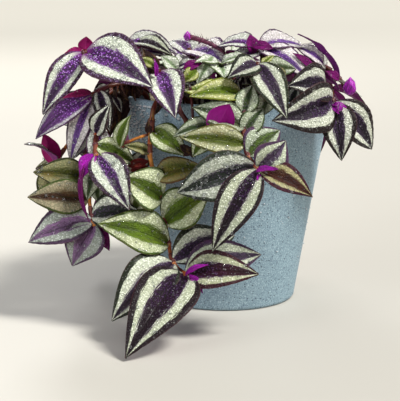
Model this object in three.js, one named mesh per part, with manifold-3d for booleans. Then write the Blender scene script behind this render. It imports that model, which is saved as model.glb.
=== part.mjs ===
// A potted tradescantia: a tapered pot with a plain closed base, potting soil, and leafy
// shoots that root in the soil, rise over the rim and trail outside it.
// Millimetres, +Z up, origin at the middle of the pot's underside, the front towards -Y.
import * as THREE from "three";
import { mergeVertices } from "three/addons/utils/BufferGeometryUtils.js";
import Module from "manifold-3d";

const wasm = await Module();
wasm.setup();
const { degToRad, lerp } = THREE.MathUtils;

// Pot
const POT_HEIGHT = 128;
const RIM_RADIUS = 64.5;
const FOOT_RADIUS = 43;
const FOOT_CHAMFER = 2.5;
const WALL = 3;
const FLOOR = 4;
const LIP_ROUND = 1.2;
const POT_SIDES = 48;

// Soil
const SOIL_TOP = 114;
const SOIL_CROWN = 3;
const SOIL_GAP = 0.75;
const SOIL_SIDES = 20;

// Stems
const STEM_RADIUS = 2.1;
const STEM_TIP_RADIUS = 1.1;
const STEM_SIDES = 5;
const STEM_STEP = 12;
const ROOT_DEPTH = 10;
const CLEARANCE = 0.35;

// Leaves
const BLADE_THICKNESS = 0.8;
const BLADE_ROWS = [0, 0.1, 0.36, 0.68, 1];
const BASE_SHARE = 0.07;
const TIP_SHARE = 0.02;
const ARCH = 0.12;
const BASE_FOLD = degToRad(24);
const TIP_FOLD = degToRad(8);
const BASE_SINK = 0.25;
const OWN_SHARE = 0.3;
const JOIN_TOLERANCE = 0.04;

// The ways in which a crowded leaf may bend, as lift and swing in degrees, smallest first
const LIFTS = [-32, -24, -16, -8, 0, 8, 16, 24, 32];
const SWINGS = [-40, -30, -20, -10, 0, 10, 20, 30, 40];
const BENDS = LIFTS.flatMap((lift) => SWINGS.map((swing) => [lift, swing]));
BENDS.sort((a, b) => Math.hypot(...a) - Math.hypot(...b) || a[0] - b[0] || a[1] - b[1]);

// The way in which a leaf turns its upper face
const FRONT = [0, -0.8, 0.6];
const TOP = [0, -0.4, 0.92];
const AWAY = [0, 1, 0.15];
const DOWN = [0, 0.35, -0.94];

// Each shoot by hand: its name, the way its leaves face, the knees of its stem from the root
// up, and its leaves. A leaf has its place along the knees, its tip, its width and, where it
// differs from its shoot's, the way it faces.
const SHOOTS = [
  ["front_low_shoot", FRONT,
    [[-18, -34, 104], [-21, -38, 124], [-33, -47, 134], [-42, -57, 127], [-44, -61, 113], [-45, -62, 100],
      [-42, -65, 86], [-38, -68, 74], [-36, -71, 60], [-34, -75, 49], [-31, -84, 40], [-22, -92, 33]],
    [[11, [-56, -143, 2], 36], [10, [-65, -112, 14], 31], [10.8, [19, -80, 44], 28], [11, [17, -98, 37], 25],
      [9.9, [5, -66, 55], 26], [9, [-74, -84, 63], 29], [8, [-11, -66, 77], 29], [7, [-60, -74, 88], 29],
      [6, [-14, -64, 92], 22], [4, [-24, -66, 99], 23], [5, [-60, -66, 105], 10], [11, [-14, -98, 27], 7]]],
  ["front_right_shoot", FRONT,
    [[10, -34, 104], [10, -38, 124], [9, -52, 134], [8, -66, 131], [9, -74, 122], [9, -79, 111],
      [11, -84, 102], [15, -87, 97], [18, -89, 94]],
    [[7.6, [-9, -98, 51], 25], [7, [-29, -88, 81], 30], [8, [47, -86, 79], 21], [7.4, [32, -92, 111], 24],
      [6, [29, -78, 117], 22], [5.3, [-28, -80, 111], 18, [0, -0.93, 0.36]],
      [2.6, [-22, -72, 134], 18, [0, -0.7, 0.7]], [4.8, [20, -70, 127], 15], [3.8, [14, -62, 138], 15],
      [4.5, [-20, -74, 130], 20]]],
  ["front_inner_shoot", FRONT,
    [[-6, -36, 104], [-6, -40, 124], [-5, -52, 135], [-3, -65, 132], [-6, -71, 123], [-9, -79, 111]],
    [[4.75, [1, -84, 131], 17, [0, -1, 0.1]], [3, [-27, -66, 141], 16, TOP], [4.4, [-32, -75, 117], 12],
      [4.6, [-20, -74, 100], 15]]],
  ["right_shoot", FRONT,
    [[34, -16, 104], [36, -17, 124], [44, -23, 138], [54, -29, 139], [60, -33, 132], [62, -36, 128],
      [63, -38, 125]],
    [[5, [25, -66, 121], 31], [6, [67, -48, 93], 23], [6, [90, -30, 97], 25], [3.6, [30, -50, 137], 22]]],
  ["right_upper_shoot", TOP,
    [[36, 6, 104], [37, 6, 124], [47, 0, 141], [58, -8, 144], [68, -15, 137], [73, -23, 129]],
    [[4, [42, -24, 165], 8, [0.6, 0.55, 0.58]], [3.2, [43, -12, 157], 18, [0.3, -0.75, 0.5]],
      [5, [77, -32, 137], 10, AWAY], [2, [44, -22, 147], 14], [3.6, [72, 12, 140], 20]]],
  ["crown_right_shoot", FRONT,
    [[19, -26, 104], [19, -30, 124], [20, -43, 139], [19, -53, 148], [16, -57, 151]],
    [[4, [33, -77, 122], 21], [3.7, [-1, -68, 142], 17], [2.6, [40, -42, 146], 15]]],
  ["crown_back_right_shoot", TOP,
    [[21, -6, 104], [21, -7, 124], [22, -13, 142], [21, -20, 153], [18, -24, 157]],
    [[4, [48, -12, 160], 22], [3.6, [50, -44, 142], 21], [4, [-6, -20, 157], 19],
      [4, [14, -30, 166], 12, AWAY], [3, [0, -42, 152], 16], [2.6, [40, 8, 152], 22]]],
  ["left_arching_shoot", TOP,
    [[-34, 4, 104], [-36, 4, 124], [-47, 0, 144], [-57, -5, 155], [-63, -8, 157]],
    [[4, [-30, -14, 152], 23], [3.2, [-32, -28, 148], 18], [4, [-90, -14, 146], 24],
      [3, [-58, 26, 148], 25], [2.6, [-28, 8, 142], 20]]],
  ["crown_middle_shoot", TOP,
    [[-12, -6, 104], [-13, -6, 124], [-18, -6, 143], [-23, -6, 155]],
    [[3, [-2, -28, 151], 29], [3, [-2, -12, 160], 9, AWAY], [2.2, [-28, -42, 147], 19],
      [2.5, [-34, 18, 156], 23]]],
  ["crown_front_shoot", TOP,
    [[-2, -20, 104], [-3, -21, 124], [-5, -30, 140], [-4, -37, 147]],
    [[3, [2, -56, 140], 17], [3, [-20, -50, 148], 13], [3, [12, -46, 150], 14]]],
  ["left_crown_shoot", TOP,
    [[-30, -14, 104], [-32, -15, 124], [-46, -22, 144], [-63, -30, 154], [-77, -37, 156], [-85, -41, 155]],
    [[5, [-43, -62, 138], 33, FRONT], [5, [-107, -53, 121], 20, FRONT], [5, [-82, -42, 165], 10, AWAY],
      [5, [-95, -46, 154], 8, AWAY], [3, [-66, -6, 148], 18]]],
  ["left_inner_shoot", FRONT,
    [[-26, -26, 104], [-28, -28, 124], [-36, -38, 140], [-41, -46, 146]],
    [[3, [-30, -69, 121], 24], [2.5, [-22, -54, 148], 9], [2.8, [-54, -46, 150], 14, TOP],
      [1.5, [-10, -46, 137], 16, TOP]]],
  ["left_rim_shoot", FRONT,
    [[-38, -22, 104], [-41, -24, 124], [-52, -34, 136], [-66, -43, 137], [-75, -48, 134], [-79, -50, 131]],
    [[5, [-114, -60, 112], 18], [4.6, [-101, -46, 128], 16, DOWN], [4, [-68, -60, 112], 13],
      [5, [-92, -48, 92], 15], [2, [-60, -10, 141], 18]]],
  ["left_front_shoot", FRONT,
    [[-44, -12, 104], [-47, -13, 124], [-59, -25, 135], [-70, -38, 131], [-75, -48, 121], [-76, -57, 110],
      [-76, -65, 102], [-75, -68, 99]],
    [[7, [-56, -84, 71], 23], [6.6, [-83, -79, 66], 9, AWAY], [4, [-91, -56, 92], 18],
      [5, [-58, -62, 122], 13], [5.6, [-54, -70, 94], 16], [4.6, [-78, -68, 86], 16],
      [2.4, [-42, -36, 141], 16, TOP]]],
  ["left_low_shoot", FRONT,
    [[-46, 2, 104], [-49, 2, 124], [-61, -7, 134], [-73, -20, 127], [-80, -33, 112], [-83, -44, 96],
      [-83, -50, 84], [-81, -55, 72], [-79, -60, 62], [-77, -64, 57]],
    [[9, [-90, -70, 35], 27], [8.4, [-116, -62, 48], 26], [8, [-51, -64, 66], 23], [7, [-117, -58, 73], 22],
      [6, [-114, -52, 86], 20], [9, [-68, -70, 45], 9], [5, [-66, -48, 80], 17]]],
  ["left_side_shoot", FRONT,
    [[-46, 14, 104], [-50, 14, 124], [-63, 4, 133], [-78, -10, 124], [-90, -24, 106], [-100, -34, 93],
      [-103, -39, 87]],
    [[6, [-108, -42, 108], 12, AWAY], [5.6, [-118, -50, 108], 12, [0.5, 0.1, 0.8]], [5, [-112, -10, 82], 20],
      [3, [-102, -6, 114], 24], [4, [-84, -34, 92], 16], [6, [-104, -44, 60], 20]]],
];

// Shoots at the sides and back, which grow by one rule: name, bearing from the front in degrees,
// distance of the root from the middle, fall below the rim and leaf length.
const SHOULDER_REACH = 15;
const KNEE_DROP = 17;
const LEAF_SLENDERNESS = 0.46;
const TRAILING = [
  ["right_side_shoot", 116, 42, 0, 34],
  ["right_back_shoot", 142, 44, 14, 42],
  ["back_right_shoot", 157, 42, 50, 48],
  ["back_shoot", 181, 46, 68, 50],
  ["back_left_shoot", 205, 42, 38, 48],
  ["left_back_shoot", 229, 46, 66, 48],
  ["left_back_side_shoot", 253, 42, 38, 46],
];

// Shoots that stand in the crown: name, root, height above the soil and bearing they lean to.
const UPRIGHT_LEAN = 16;
const UPRIGHT_LEAVES = 5;
const LEAF_TURN = 137;
const UPRIGHT = [
  ["crown_back_shoot", [4, 22], 34, 170],
  ["crown_back_left_shoot", [-20, 24], 32, 215],
  ["crown_back_side_shoot", [24, 18], 26, 135],
];

const point = (p) => new THREE.Vector3(...p);

// A repeatable draw between -1 and 1.
function draw(seed) {
  const wave = Math.sin(seed * 12.9898) * 43758.5453;
  return 2 * (wave - Math.floor(wave)) - 1;
}

// The unit vector that points outwards at a bearing from the front, counted towards +X.
function outwards(bearing) {
  const angle = degToRad(bearing);
  return new THREE.Vector3(Math.sin(angle), -Math.cos(angle), 0);
}

// A shoot that climbs over the rim and hangs down outside it, with leaves on both sides in turn
// and one at its end.
function trailingShoot([name, bearing, rootRadius, fall, leafLength], number) {
  const out = outwards(bearing);
  const along = outwards(bearing + 90);
  const at = (radius, drift, z) =>
    out.clone().multiplyScalar(radius).addScaledVector(along, drift).setZ(z);
  const sway = 6 * draw(number + 1);
  const shoulder = RIM_RADIUS + SHOULDER_REACH;
  const knees = [
    at(rootRadius, 0, SOIL_TOP - ROOT_DEPTH),
    at(rootRadius + 2, 0, SOIL_TOP + ROOT_DEPTH),
    at(rootRadius + 12, 0.3 * sway, POT_HEIGHT + 9),
    at(RIM_RADIUS + 7, 0.6 * sway, POT_HEIGHT + 6),
    at(shoulder, sway, POT_HEIGHT - 7),
  ];
  const steps = Math.round(fall / KNEE_DROP);
  for (let i = 1; i <= steps; i++) {
    knees.push(at(shoulder + 3 * i, sway * (1 + 0.5 * i), POT_HEIGHT - 7 - (fall * i) / steps));
  }
  const last = knees.length - 1;
  const leaf = (place, length, outward, sideways, down) => {
    const tip = knees[place].clone().addScaledVector(out, outward * length)
      .addScaledVector(along, sideways * length);
    return [place, tip.setZ(tip.z - down * length).toArray(), LEAF_SLENDERNESS * length];
  };
  const leaves = [];
  for (let i = 2; i <= last; i++) {
    const length = leafLength * (1 - 0.06 * (i - 2)) * (1 + 0.08 * draw(10 * number + i));
    leaves.push(leaf(i, length, 0.42, i % 2 ? 0.76 : -0.76, 0.3));
  }
  leaves.push(leaf(last, 0.8 * leafLength, 0.3, 0, 0.9));
  return [name, out.multiplyScalar(0.8).setZ(0.6).toArray(), knees.map((k) => k.toArray()), leaves];
}

// A shoot that stands in the crown, leans outwards and has its leaves all round.
function uprightShoot([name, root, height, bearing], number) {
  const lean = outwards(bearing);
  const knee = (share, z) =>
    new THREE.Vector3(...root, z).addScaledVector(lean, UPRIGHT_LEAN * share * share);
  const knees = [knee(0, SOIL_TOP - ROOT_DEPTH)];
  for (const share of [0.25, 0.62, 1]) knees.push(knee(share, SOIL_TOP + height * share));
  const leaves = [];
  for (let i = 0; i < UPRIGHT_LEAVES; i++) {
    const place = 1 + 0.5 * i;
    const length = 44 - 3 * i + 3 * draw(20 * number + i);
    const way = outwards(bearing + 150 + LEAF_TURN * i).setZ(0.05 * i - 0.1);
    const tip = knees[Math.round(place)].clone().addScaledVector(way, 0.95 * length);
    leaves.push([place, tip.toArray(), LEAF_SLENDERNESS * length]);
  }
  return [name, [0, 0, 1], knees.map((k) => k.toArray()), leaves];
}

// A closed skin over rings of points, with its two ends capped. flipped[j] marks the strips whose
// diagonals run the other way, so that both faces of a blade are split alike.
function skin(rings, flipped = []) {
  const sides = rings[0].length;
  const faces = [];
  for (let i = 0; i + 1 < rings.length; i++) {
    for (let j = 0; j < sides; j++) {
      const [a, b] = [i * sides + j, i * sides + ((j + 1) % sides)];
      const [c, d] = [b + sides, a + sides];
      faces.push(...(flipped[j] ? [a, b, d, b, c, d] : [a, b, c, a, c, d]));
    }
  }
  const end = (rings.length - 1) * sides;
  for (let j = 1; j + 1 < sides; j++) {
    faces.push(0, j + 1, j, end, end + j, end + j + 1);
  }
  const geometry = new THREE.BufferGeometry();
  const positions = rings.flat().flatMap((p) => p.toArray());
  geometry.setAttribute("position", new THREE.Float32BufferAttribute(positions, 3));
  geometry.setIndex(faces);
  return geometry;
}

function solidOf(geometry) {
  const bare = geometry.clone();
  bare.deleteAttribute("normal");
  bare.deleteAttribute("uv");
  const merged = mergeVertices(bare, 1e-4);
  return new wasm.Manifold(new wasm.Mesh({
    numProp: 3,
    vertProperties: merged.attributes.position.array,
    triVerts: new Uint32Array(merged.index.array),
  }));
}

function geometryOf(solid) {
  const mesh = solid.getMesh();
  const positions = new Float32Array(mesh.numVert * 3);
  for (let i = 0; i < mesh.numVert; i++) {
    positions.set(mesh.vertProperties.subarray(i * mesh.numProp, i * mesh.numProp + 3), i * 3);
  }
  const geometry = new THREE.BufferGeometry();
  geometry.setAttribute("position", new THREE.BufferAttribute(positions, 3));
  geometry.setIndex(new THREE.BufferAttribute(mesh.triVerts, 1));
  geometry.computeVertexNormals();
  return geometry;
}

// A profile of [radius, height] pairs turned about the upright axis.
function turned(profile, sides) {
  const points = profile.map(([radius, height]) => new THREE.Vector2(radius, height));
  return new THREE.LatheGeometry(points, sides).rotateX(Math.PI / 2);
}

// The pot: a closed foot, a wall that widens evenly to the rim, and a softly rounded lip.
function potGeometry() {
  const inner = RIM_RADIUS - WALL;
  return turned([
    [0, 0], [FOOT_RADIUS - FOOT_CHAMFER, 0], [FOOT_RADIUS, FOOT_CHAMFER],
    [RIM_RADIUS, POT_HEIGHT - LIP_ROUND], [RIM_RADIUS - 0.5 * LIP_ROUND, POT_HEIGHT],
    [inner + 0.5 * LIP_ROUND, POT_HEIGHT], [inner, POT_HEIGHT - LIP_ROUND],
    [FOOT_RADIUS - WALL, FLOOR], [0, FLOOR],
  ], POT_SIDES);
}

// Radius of the soil at a height, just inside the pot's wall.
function soilRadius(z) {
  const share = (z - FLOOR) / (POT_HEIGHT - LIP_ROUND - FLOOR);
  return lerp(FOOT_RADIUS, RIM_RADIUS, share) - WALL - SOIL_GAP;
}

// The soil fills the pot to below the rim and is slightly raised in the middle.
function soilGeometry() {
  const bottom = FLOOR + CLEARANCE;
  const edge = SOIL_TOP - SOIL_CROWN;
  return turned([
    [0, bottom], [soilRadius(bottom), bottom], [soilRadius(edge), edge],
    [soilRadius(edge) - 6, SOIL_TOP], [0, SOIL_TOP + SOIL_CROWN],
  ], SOIL_SIDES);
}

function stemCurve(knees) {
  return new THREE.CatmullRomCurve3(knees.map(point), false, "catmullrom", 0.5);
}

// A stem follows its knees and gets thinner towards its end. grow widens it, and end, which counts
// knees, stops it short.
function stemGeometry(knees, grow = 0, end = knees.length - 1) {
  const curve = stemCurve(knees);
  const last = knees.length - 1;
  const places = [];
  for (let i = 0; i < end; i++) {
    const length = point(knees[i]).distanceTo(point(knees[i + 1]));
    const steps = Math.max(1, Math.round(length / STEM_STEP));
    for (let k = 0; k < steps; k++) places.push(i + k / steps);
  }
  places.push(end);
  const across = new THREE.Vector3(1, 0, 0);
  return skin(places.map((place) => {
    const centre = curve.getPoint(place / last);
    const way = curve.getTangent(place / last);
    across.addScaledVector(way, -across.dot(way)).normalize();
    const other = way.clone().cross(across);
    const radius = grow + lerp(STEM_RADIUS, STEM_TIP_RADIUS, place / last);
    return Array.from({ length: STEM_SIDES }, (_, j) => {
      const angle = (2 * Math.PI * j) / STEM_SIDES;
      return centre.clone().addScaledVector(across, radius * Math.cos(angle))
        .addScaledVector(other, radius * Math.sin(angle));
    });
  }));
}

// Half-width of a leaf as a share of its widest: a round base and a drawn-out tip.
function outline(t) {
  const share = Math.max(0, Math.sin(Math.PI * t ** 0.68)) ** 0.9;
  return Math.max(share, t < 0.5 ? BASE_SHARE : TIP_SHARE);
}

// The upper face's direction and the sideways direction of a leaf.
function leafAxes(chord, face) {
  const up = face.clone().addScaledVector(chord, -face.dot(chord) / chord.lengthSq()).normalize();
  return [up, chord.clone().cross(up).normalize()];
}

// A leaf from base to tip, arched along its length and folded along its midrib. grow thickens
// and widens it, and from leaves out what lies nearer the base.
function bladeGeometry(base, tip, width, face, grow = 0, from = 0) {
  const chord = tip.clone().sub(base);
  const length = chord.length();
  const [up, side] = leafAxes(chord, face);
  const half = BLADE_THICKNESS / 2 + grow;
  const stretch = 1 + (1.5 * grow) / length;
  const rings = BLADE_ROWS.filter((t) => t >= from).map((t) => {
    const centre = base.clone().addScaledVector(chord, t * stretch)
      .addScaledVector(up, ARCH * length * 4 * t * (1 - t));
    const reach = (width / 2) * outline(t) + 1.5 * grow;
    const fold = lerp(BASE_FOLD, TIP_FOLD, t);
    const at = (s, lift) => centre.clone().addScaledVector(side, s * reach * Math.cos(fold))
      .addScaledVector(up, Math.abs(s) * reach * Math.sin(fold) + lift);
    return [at(-1, half), at(0, half), at(1, half), at(1, -half), at(0, -half), at(-1, -half)];
  });
  return skin(rings, [true, false, false, true, false, false]);
}

function bentTip(base, tip, face, [lift, swing]) {
  const chord = tip.clone().sub(base);
  const [up, side] = leafAxes(chord, face);
  return chord.applyAxisAngle(side, degToRad(lift)).applyAxisAngle(up, degToRad(swing)).add(base);
}

const boxed = (solid) => ({ solid, box: solid.boundingBox() });

function boxesMeet(a, b) {
  return [0, 1, 2].every((k) => a.min[k] <= b.max[k] && b.min[k] <= a.max[k]);
}

function crosses(solid, others) {
  const box = solid.boundingBox();
  return others.some((o) => boxesMeet(box, o.box) && solid.intersect(o.solid).volume() > 0);
}

// The leaf as it grows: bent clear of the surface and of the strangers and, where that can be, of
// its own shoot. Where the crowd leaves no room at all it is shed.
function fittedLeaf(base, tip, width, face, strangers, family) {
  let crossing = null;
  for (const bend of BENDS) {
    const bent = bentTip(base, tip, face, bend);
    const roomy = solidOf(bladeGeometry(base, bent, width, face, CLEARANCE));
    if (roomy.boundingBox().min[2] < 0 || crosses(roomy, strangers)) continue;
    const blade = solidOf(bladeGeometry(base, bent, width, face));
    const outer = solidOf(bladeGeometry(base, bent, width, face, 0, OWN_SHARE));
    if (!crosses(outer, family)) return blade;
    crossing = crossing || blade;
  }
  return crossing;
}

const shoots = [...SHOOTS, ...TRAILING.map(trailingShoot), ...UPRIGHT.map(uprightShoot)];
const pot = solidOf(potGeometry());
const stems = shoots.map(([, , knees]) => boxed(solidOf(stemGeometry(knees))));

// Each stem stands in a plain hole.
let soil = solidOf(soilGeometry());
for (const [, , [[x, y, z], ...upper]] of shoots) {
  soil = soil.subtract(solidOf(stemGeometry([[x, y, z - CLEARANCE], ...upper], CLEARANCE, 1)));
}

// Leaves go on in the order of the list, each bent clear of all that is there before it.
const blades = [];
shoots.forEach(([, shootFace, knees, leaves], number) => {
  const curve = stemCurve(knees);
  const last = knees.length - 1;
  const strangers = [boxed(pot), boxed(soil), ...stems.filter((_, i) => i !== number), ...blades.flat()];
  const own = [];
  for (const [place, tip, width, ownFace] of leaves) {
    const base = curve.getPoint(Math.min(place, last - BASE_SINK) / last);
    const family = [stems[number], ...own];
    const leaf = fittedLeaf(base, point(tip), width, point(ownFace || shootFace), strangers, family);
    if (leaf) own.push(boxed(leaf));
  }
  blades.push(own);
});

const material = (name, color, roughness) =>
  new THREE.MeshStandardMaterial({ name, color, roughness, metalness: 0 });
const potMaterial = material("pot", 0x9fb6c3, 0.6);
const soilMaterial = material("soil", 0x3a2a1e, 0.95);
const leafMaterial = material("leaf", 0x6d5a74, 0.45);

const plant = new THREE.Group();
function addNode(name, solid, look) {
  const mesh = new THREE.Mesh(geometryOf(solid), look);
  mesh.name = name;
  plant.add(mesh);
}
addNode("pot", pot, potMaterial);
addNode("soil", soil, soilMaterial);
shoots.forEach(([name], number) => {
  const joined = wasm.Manifold.union([stems[number], ...blades[number]].map((piece) => piece.solid));
  const [whole] = joined.decompose().sort((a, b) => b.volume() - a.volume());
  addNode(name, whole.simplify(JOIN_TOLERANCE), leafMaterial);
});

export default plant;
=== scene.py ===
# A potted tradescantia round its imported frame: the pot, the soil, and the leafy shoots with their
# sheaths, young leaves and drops of water. Metres, +Z up, the front towards -Y.
import math
import random

import bmesh
import bpy
from mathutils import Color, Matrix, Quaternion, Vector, noise
from mathutils.kdtree import KDTree


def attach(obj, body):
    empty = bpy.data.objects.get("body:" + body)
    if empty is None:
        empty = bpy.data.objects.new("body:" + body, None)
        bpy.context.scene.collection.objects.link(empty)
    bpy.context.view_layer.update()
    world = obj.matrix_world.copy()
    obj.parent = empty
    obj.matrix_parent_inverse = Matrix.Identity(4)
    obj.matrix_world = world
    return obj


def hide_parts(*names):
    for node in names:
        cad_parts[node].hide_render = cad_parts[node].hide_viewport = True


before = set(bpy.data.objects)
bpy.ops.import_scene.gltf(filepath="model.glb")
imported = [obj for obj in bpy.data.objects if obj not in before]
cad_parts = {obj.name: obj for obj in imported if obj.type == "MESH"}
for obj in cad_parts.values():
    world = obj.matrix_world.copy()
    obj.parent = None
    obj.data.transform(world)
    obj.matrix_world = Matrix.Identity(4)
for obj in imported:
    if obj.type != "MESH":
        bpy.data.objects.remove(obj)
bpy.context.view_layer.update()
MM = 0.001

# Camera: in front of the pot and a little above its rim, looking down at 11.5 degrees through a
# long lens. At the photograph's 400 by 401 pixels its focal length is 1,500 pixels.
FOCAL_PIXELS = 1500
PHOTO_LONG_SIDE = 401
LOOKING_DOWN = math.radians(11.47)
camera = bpy.data.objects.new("camera", bpy.data.cameras.new("camera"))
camera.data.sensor_width = 36
camera.data.lens = 36 * FOCAL_PIXELS / PHOTO_LONG_SIDE
camera.location = (-0.016, -0.9146, 0.245)
camera.rotation_euler = (math.pi / 2 - LOOKING_DOWN, 0, 0)
bpy.context.scene.collection.objects.link(camera)
bpy.context.scene.camera = camera


# Studio: a wide pale floor that runs out of sight, a pale room all round, a broad soft light high
# on the right, and two soft boxes, a low one on the left and one behind for the leaf edges.
FLOOR_RADIUS = 9
ROOM_LIGHT = 0.31
ROOM_COLOUR = (244, 244, 242)
KEY_LIGHT = 4.25
KEY_SPREAD = math.radians(16)
KEY_WAY = Vector((-0.62, 0.35, -1.0))
KEY_COLOUR = (1.0, 0.98, 0.94)
MIDDLE = Vector((0, 0, 0.1))
SOFT_BOXES = [("fill", (-1.2, -1.1, 0.6), 0.8, 10, (0.95, 0.97, 1.0)),
              ("rim", (-0.3, 1.3, 0.9), 0.5, 7, (1.0, 0.99, 0.97))]


def paint(red, green, blue):
    """A colour given as 0 to 255, as the scene-linear colour that materials take."""
    colour = Color((red / 255, green / 255, blue / 255)).from_srgb_to_scene_linear()
    return (*colour, 1)


class Varying:
    """A number, colour or place that varies over a surface: what a shader node gives."""

    def __init__(self, made, output=0):
        self.made = made
        self.socket = made.outputs[output]

    def part(self, output):
        """What else the same node gives."""
        return Varying(self.made, output)

    def __add__(self, other):
        return calc("ADD", self, other)

    def __sub__(self, other):
        return calc("SUBTRACT", self, other)

    def __mul__(self, other):
        return calc("MULTIPLY", self, other)


def node(kind, inputs=None, output=0, tree=None, **settings):
    """Adds a shader node. Its inputs, by name or number, vary or are values. Without a tree, it
    joins the tree of the first input that varies."""
    inputs = inputs or {}
    tree = tree or next(value for value in inputs.values() if isinstance(value, Varying)).socket.id_data
    made = tree.nodes.new("ShaderNode" + kind)
    for key, value in settings.items():
        setattr(made, key, value)
    for key, value in inputs.items():
        if isinstance(value, Varying):
            tree.links.new(value.socket, made.inputs[key])
        else:
            made.inputs[key].default_value = value
    return Varying(made, output)


def calc(operation, *values):
    """A sum on numbers of which one or more vary."""
    return node("Math", dict(enumerate(values)), operation=operation)


def rise(value, low, high):
    """0 below low, 1 above high and a smooth rise between them."""
    inputs = {"Value": value, "From Min": low, "From Max": high}
    return node("MapRange", inputs, interpolation_type="SMOOTHSTEP")


def mix(share, first, second):
    """A share of the second colour on the first one."""
    return node("Mix", {0: share, 6: first, 7: second}, 2, data_type="RGBA")


def clouds(place, scale, detail=2, **more):
    """Soft noise between 0 and 1."""
    return node("TexNoise", {"Vector": place, "Scale": scale, "Detail": detail, **more}, "Fac")


def finish(name):
    """A new material with an empty node tree."""
    material = bpy.data.materials.new(name)
    material.use_nodes = True
    material.node_tree.nodes.clear()
    return material


def place_on(material):
    """Where a spot of the surface is, in metres."""
    return node("TexCoord", output="Object", tree=material.node_tree)


def surface(material, **inputs):
    """Ends a material in one surface shader, with what its inputs by name are."""
    tree = material.node_tree
    shader = node("BsdfPrincipled", {key.replace("_", " "): inputs[key] for key in inputs})
    tree.links.new(shader.socket, tree.nodes.new("ShaderNodeOutputMaterial").inputs["Surface"])
    return material


def add_piece(name, bm, materials, slot=None):
    """Makes a smooth mesh piece of a bmesh. With a slot, it rides on the one body there is."""
    mesh = bpy.data.meshes.new(name)
    bm.to_mesh(mesh)
    bm.free()
    for material in materials:
        mesh.materials.append(material)
    mesh.shade_smooth()
    piece = bpy.data.objects.new(name, mesh)
    bpy.context.scene.collection.objects.link(piece)
    if slot:
        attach(piece, "root")
    return piece


def floor_finish():
    material = finish("pale_floor")
    place = place_on(material)
    colour = mix(clouds(place, 3, 3), paint(190, 187, 179), paint(196, 193, 185))
    # Painted light: the floor turns paler away from the middle, so its far part looks as brightly lit as
    # the near part.
    reach = node("VectorMath", {0: place}, "Value", operation="LENGTH")
    colour = mix(rise(reach, 0.5, 2.4), colour, paint(216, 213, 203))
    return surface(material, Base_Color=colour, Roughness=0.55)


def add_light(name, kind, place, way, power, colour):
    """A lamp that shines from a place along a way."""
    lamp = bpy.data.objects.new(name, bpy.data.lights.new(name, kind))
    lamp.data.energy = power
    lamp.data.color = colour
    lamp.location = place
    lamp.rotation_euler = way.to_track_quat("-Z", "Y").to_euler()
    bpy.context.scene.collection.objects.link(lamp)
    return lamp.data


bm = bmesh.new()
bmesh.ops.create_circle(bm, cap_ends=True, segments=96, radius=FLOOR_RADIUS)
floor = add_piece("floor", bm, [floor_finish()])
add_light("key", "SUN", (0, 0, 0), KEY_WAY, KEY_LIGHT, KEY_COLOUR).angle = KEY_SPREAD
for name, place, size, power, colour in SOFT_BOXES:
    add_light(name, "AREA", place, MIDDLE - Vector(place), power, colour).size = size
room = bpy.data.worlds.new("room")
room.use_nodes = True
wall = room.node_tree.nodes["Background"].inputs
wall["Color"].default_value = paint(*ROOM_COLOUR)
wall["Strength"].default_value = ROOM_LIGHT
bpy.context.scene.world = room
bpy.context.scene.view_settings.view_transform = "Standard"


# Pot: one piece, moulded in pale blue with fine dark specks and left matte. The wall widens
# evenly from a rounded foot to a softly rounded lip; the underside is flat.
POT_HEIGHT = 128 * MM
RIM_RADIUS = 64.5 * MM
FOOT_RADIUS = 43 * MM
FOOT_ROUND = 2.5 * MM
WALL = 3 * MM
POT_FLOOR = 4 * MM
INNER_BEVEL = 2 * MM
POT_SEGMENTS = 192
POT_SHARP = math.radians(50)


def arc(centre, radius, start, end, steps):
    """Points of a round stretch of a profile, between two angles in degrees."""
    angles = [math.radians(start + (end - start) * i / steps) for i in range(steps + 1)]
    return [(centre[0] + radius * math.cos(a), centre[1] + radius * math.sin(a)) for a in angles]


def lathe(bm, profile, segments):
    """Turns a profile of radius and height about the upright axis."""
    corners = [bm.verts.new((radius, 0, height)) for radius, height in profile]
    edges = [bm.edges.new(pair) for pair in zip(corners, corners[1:])]
    bmesh.ops.spin(bm, geom=corners + edges, cent=(0, 0, 0), axis=(0, 0, 1), angle=2 * math.pi,
                   steps=segments, use_merge=True)
    bmesh.ops.remove_doubles(bm, verts=bm.verts, dist=1e-6)
    bmesh.ops.recalc_face_normals(bm, faces=bm.faces)


def channels(colour):
    """The three parts of a colour."""
    parts = node("SeparateColor", {0: colour})
    return parts, parts.part(1), parts.part(2)


def cells(place, scale):
    """Cells side by side: how far a spot is from its cell's middle, and three draws of each cell."""
    made = node("TexVoronoi", {"Vector": place, "Scale": scale}, "Distance")
    return made, channels(made.part("Color"))


def bumps(height, depth, strength):
    """The way that the surface faces where it is as high as this."""
    return node("Bump", {"Height": height, "Distance": depth, "Strength": strength})


def speckled_finish():
    material = finish("speckled_blue")
    place = place_on(material)
    colour = mix(clouds(place, 45, 4), paint(122, 147, 162), paint(141, 167, 179))
    grain = clouds(place, 1300)
    colour = mix(rise(grain, 0.56, 0.66), colour, paint(94, 117, 134))
    colour = mix(rise(grain, 0.44, 0.34), colour, paint(170, 194, 204))
    from_middle, draws = cells(place, 620)
    speck = rise(draws[0], 0.62, 0.66) * rise(from_middle, 0.30, 0.22)
    colour = mix(speck * 0.9, colour, paint(56, 72, 90))
    relief = bumps(grain - speck * 0.8, 0.06 * MM, 0.6)
    return surface(material, Base_Color=colour, Normal=relief, Roughness=0.62)


def pot_wall_radius(z):
    return FOOT_RADIUS + (RIM_RADIUS - FOOT_RADIUS) * z / POT_HEIGHT


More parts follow.
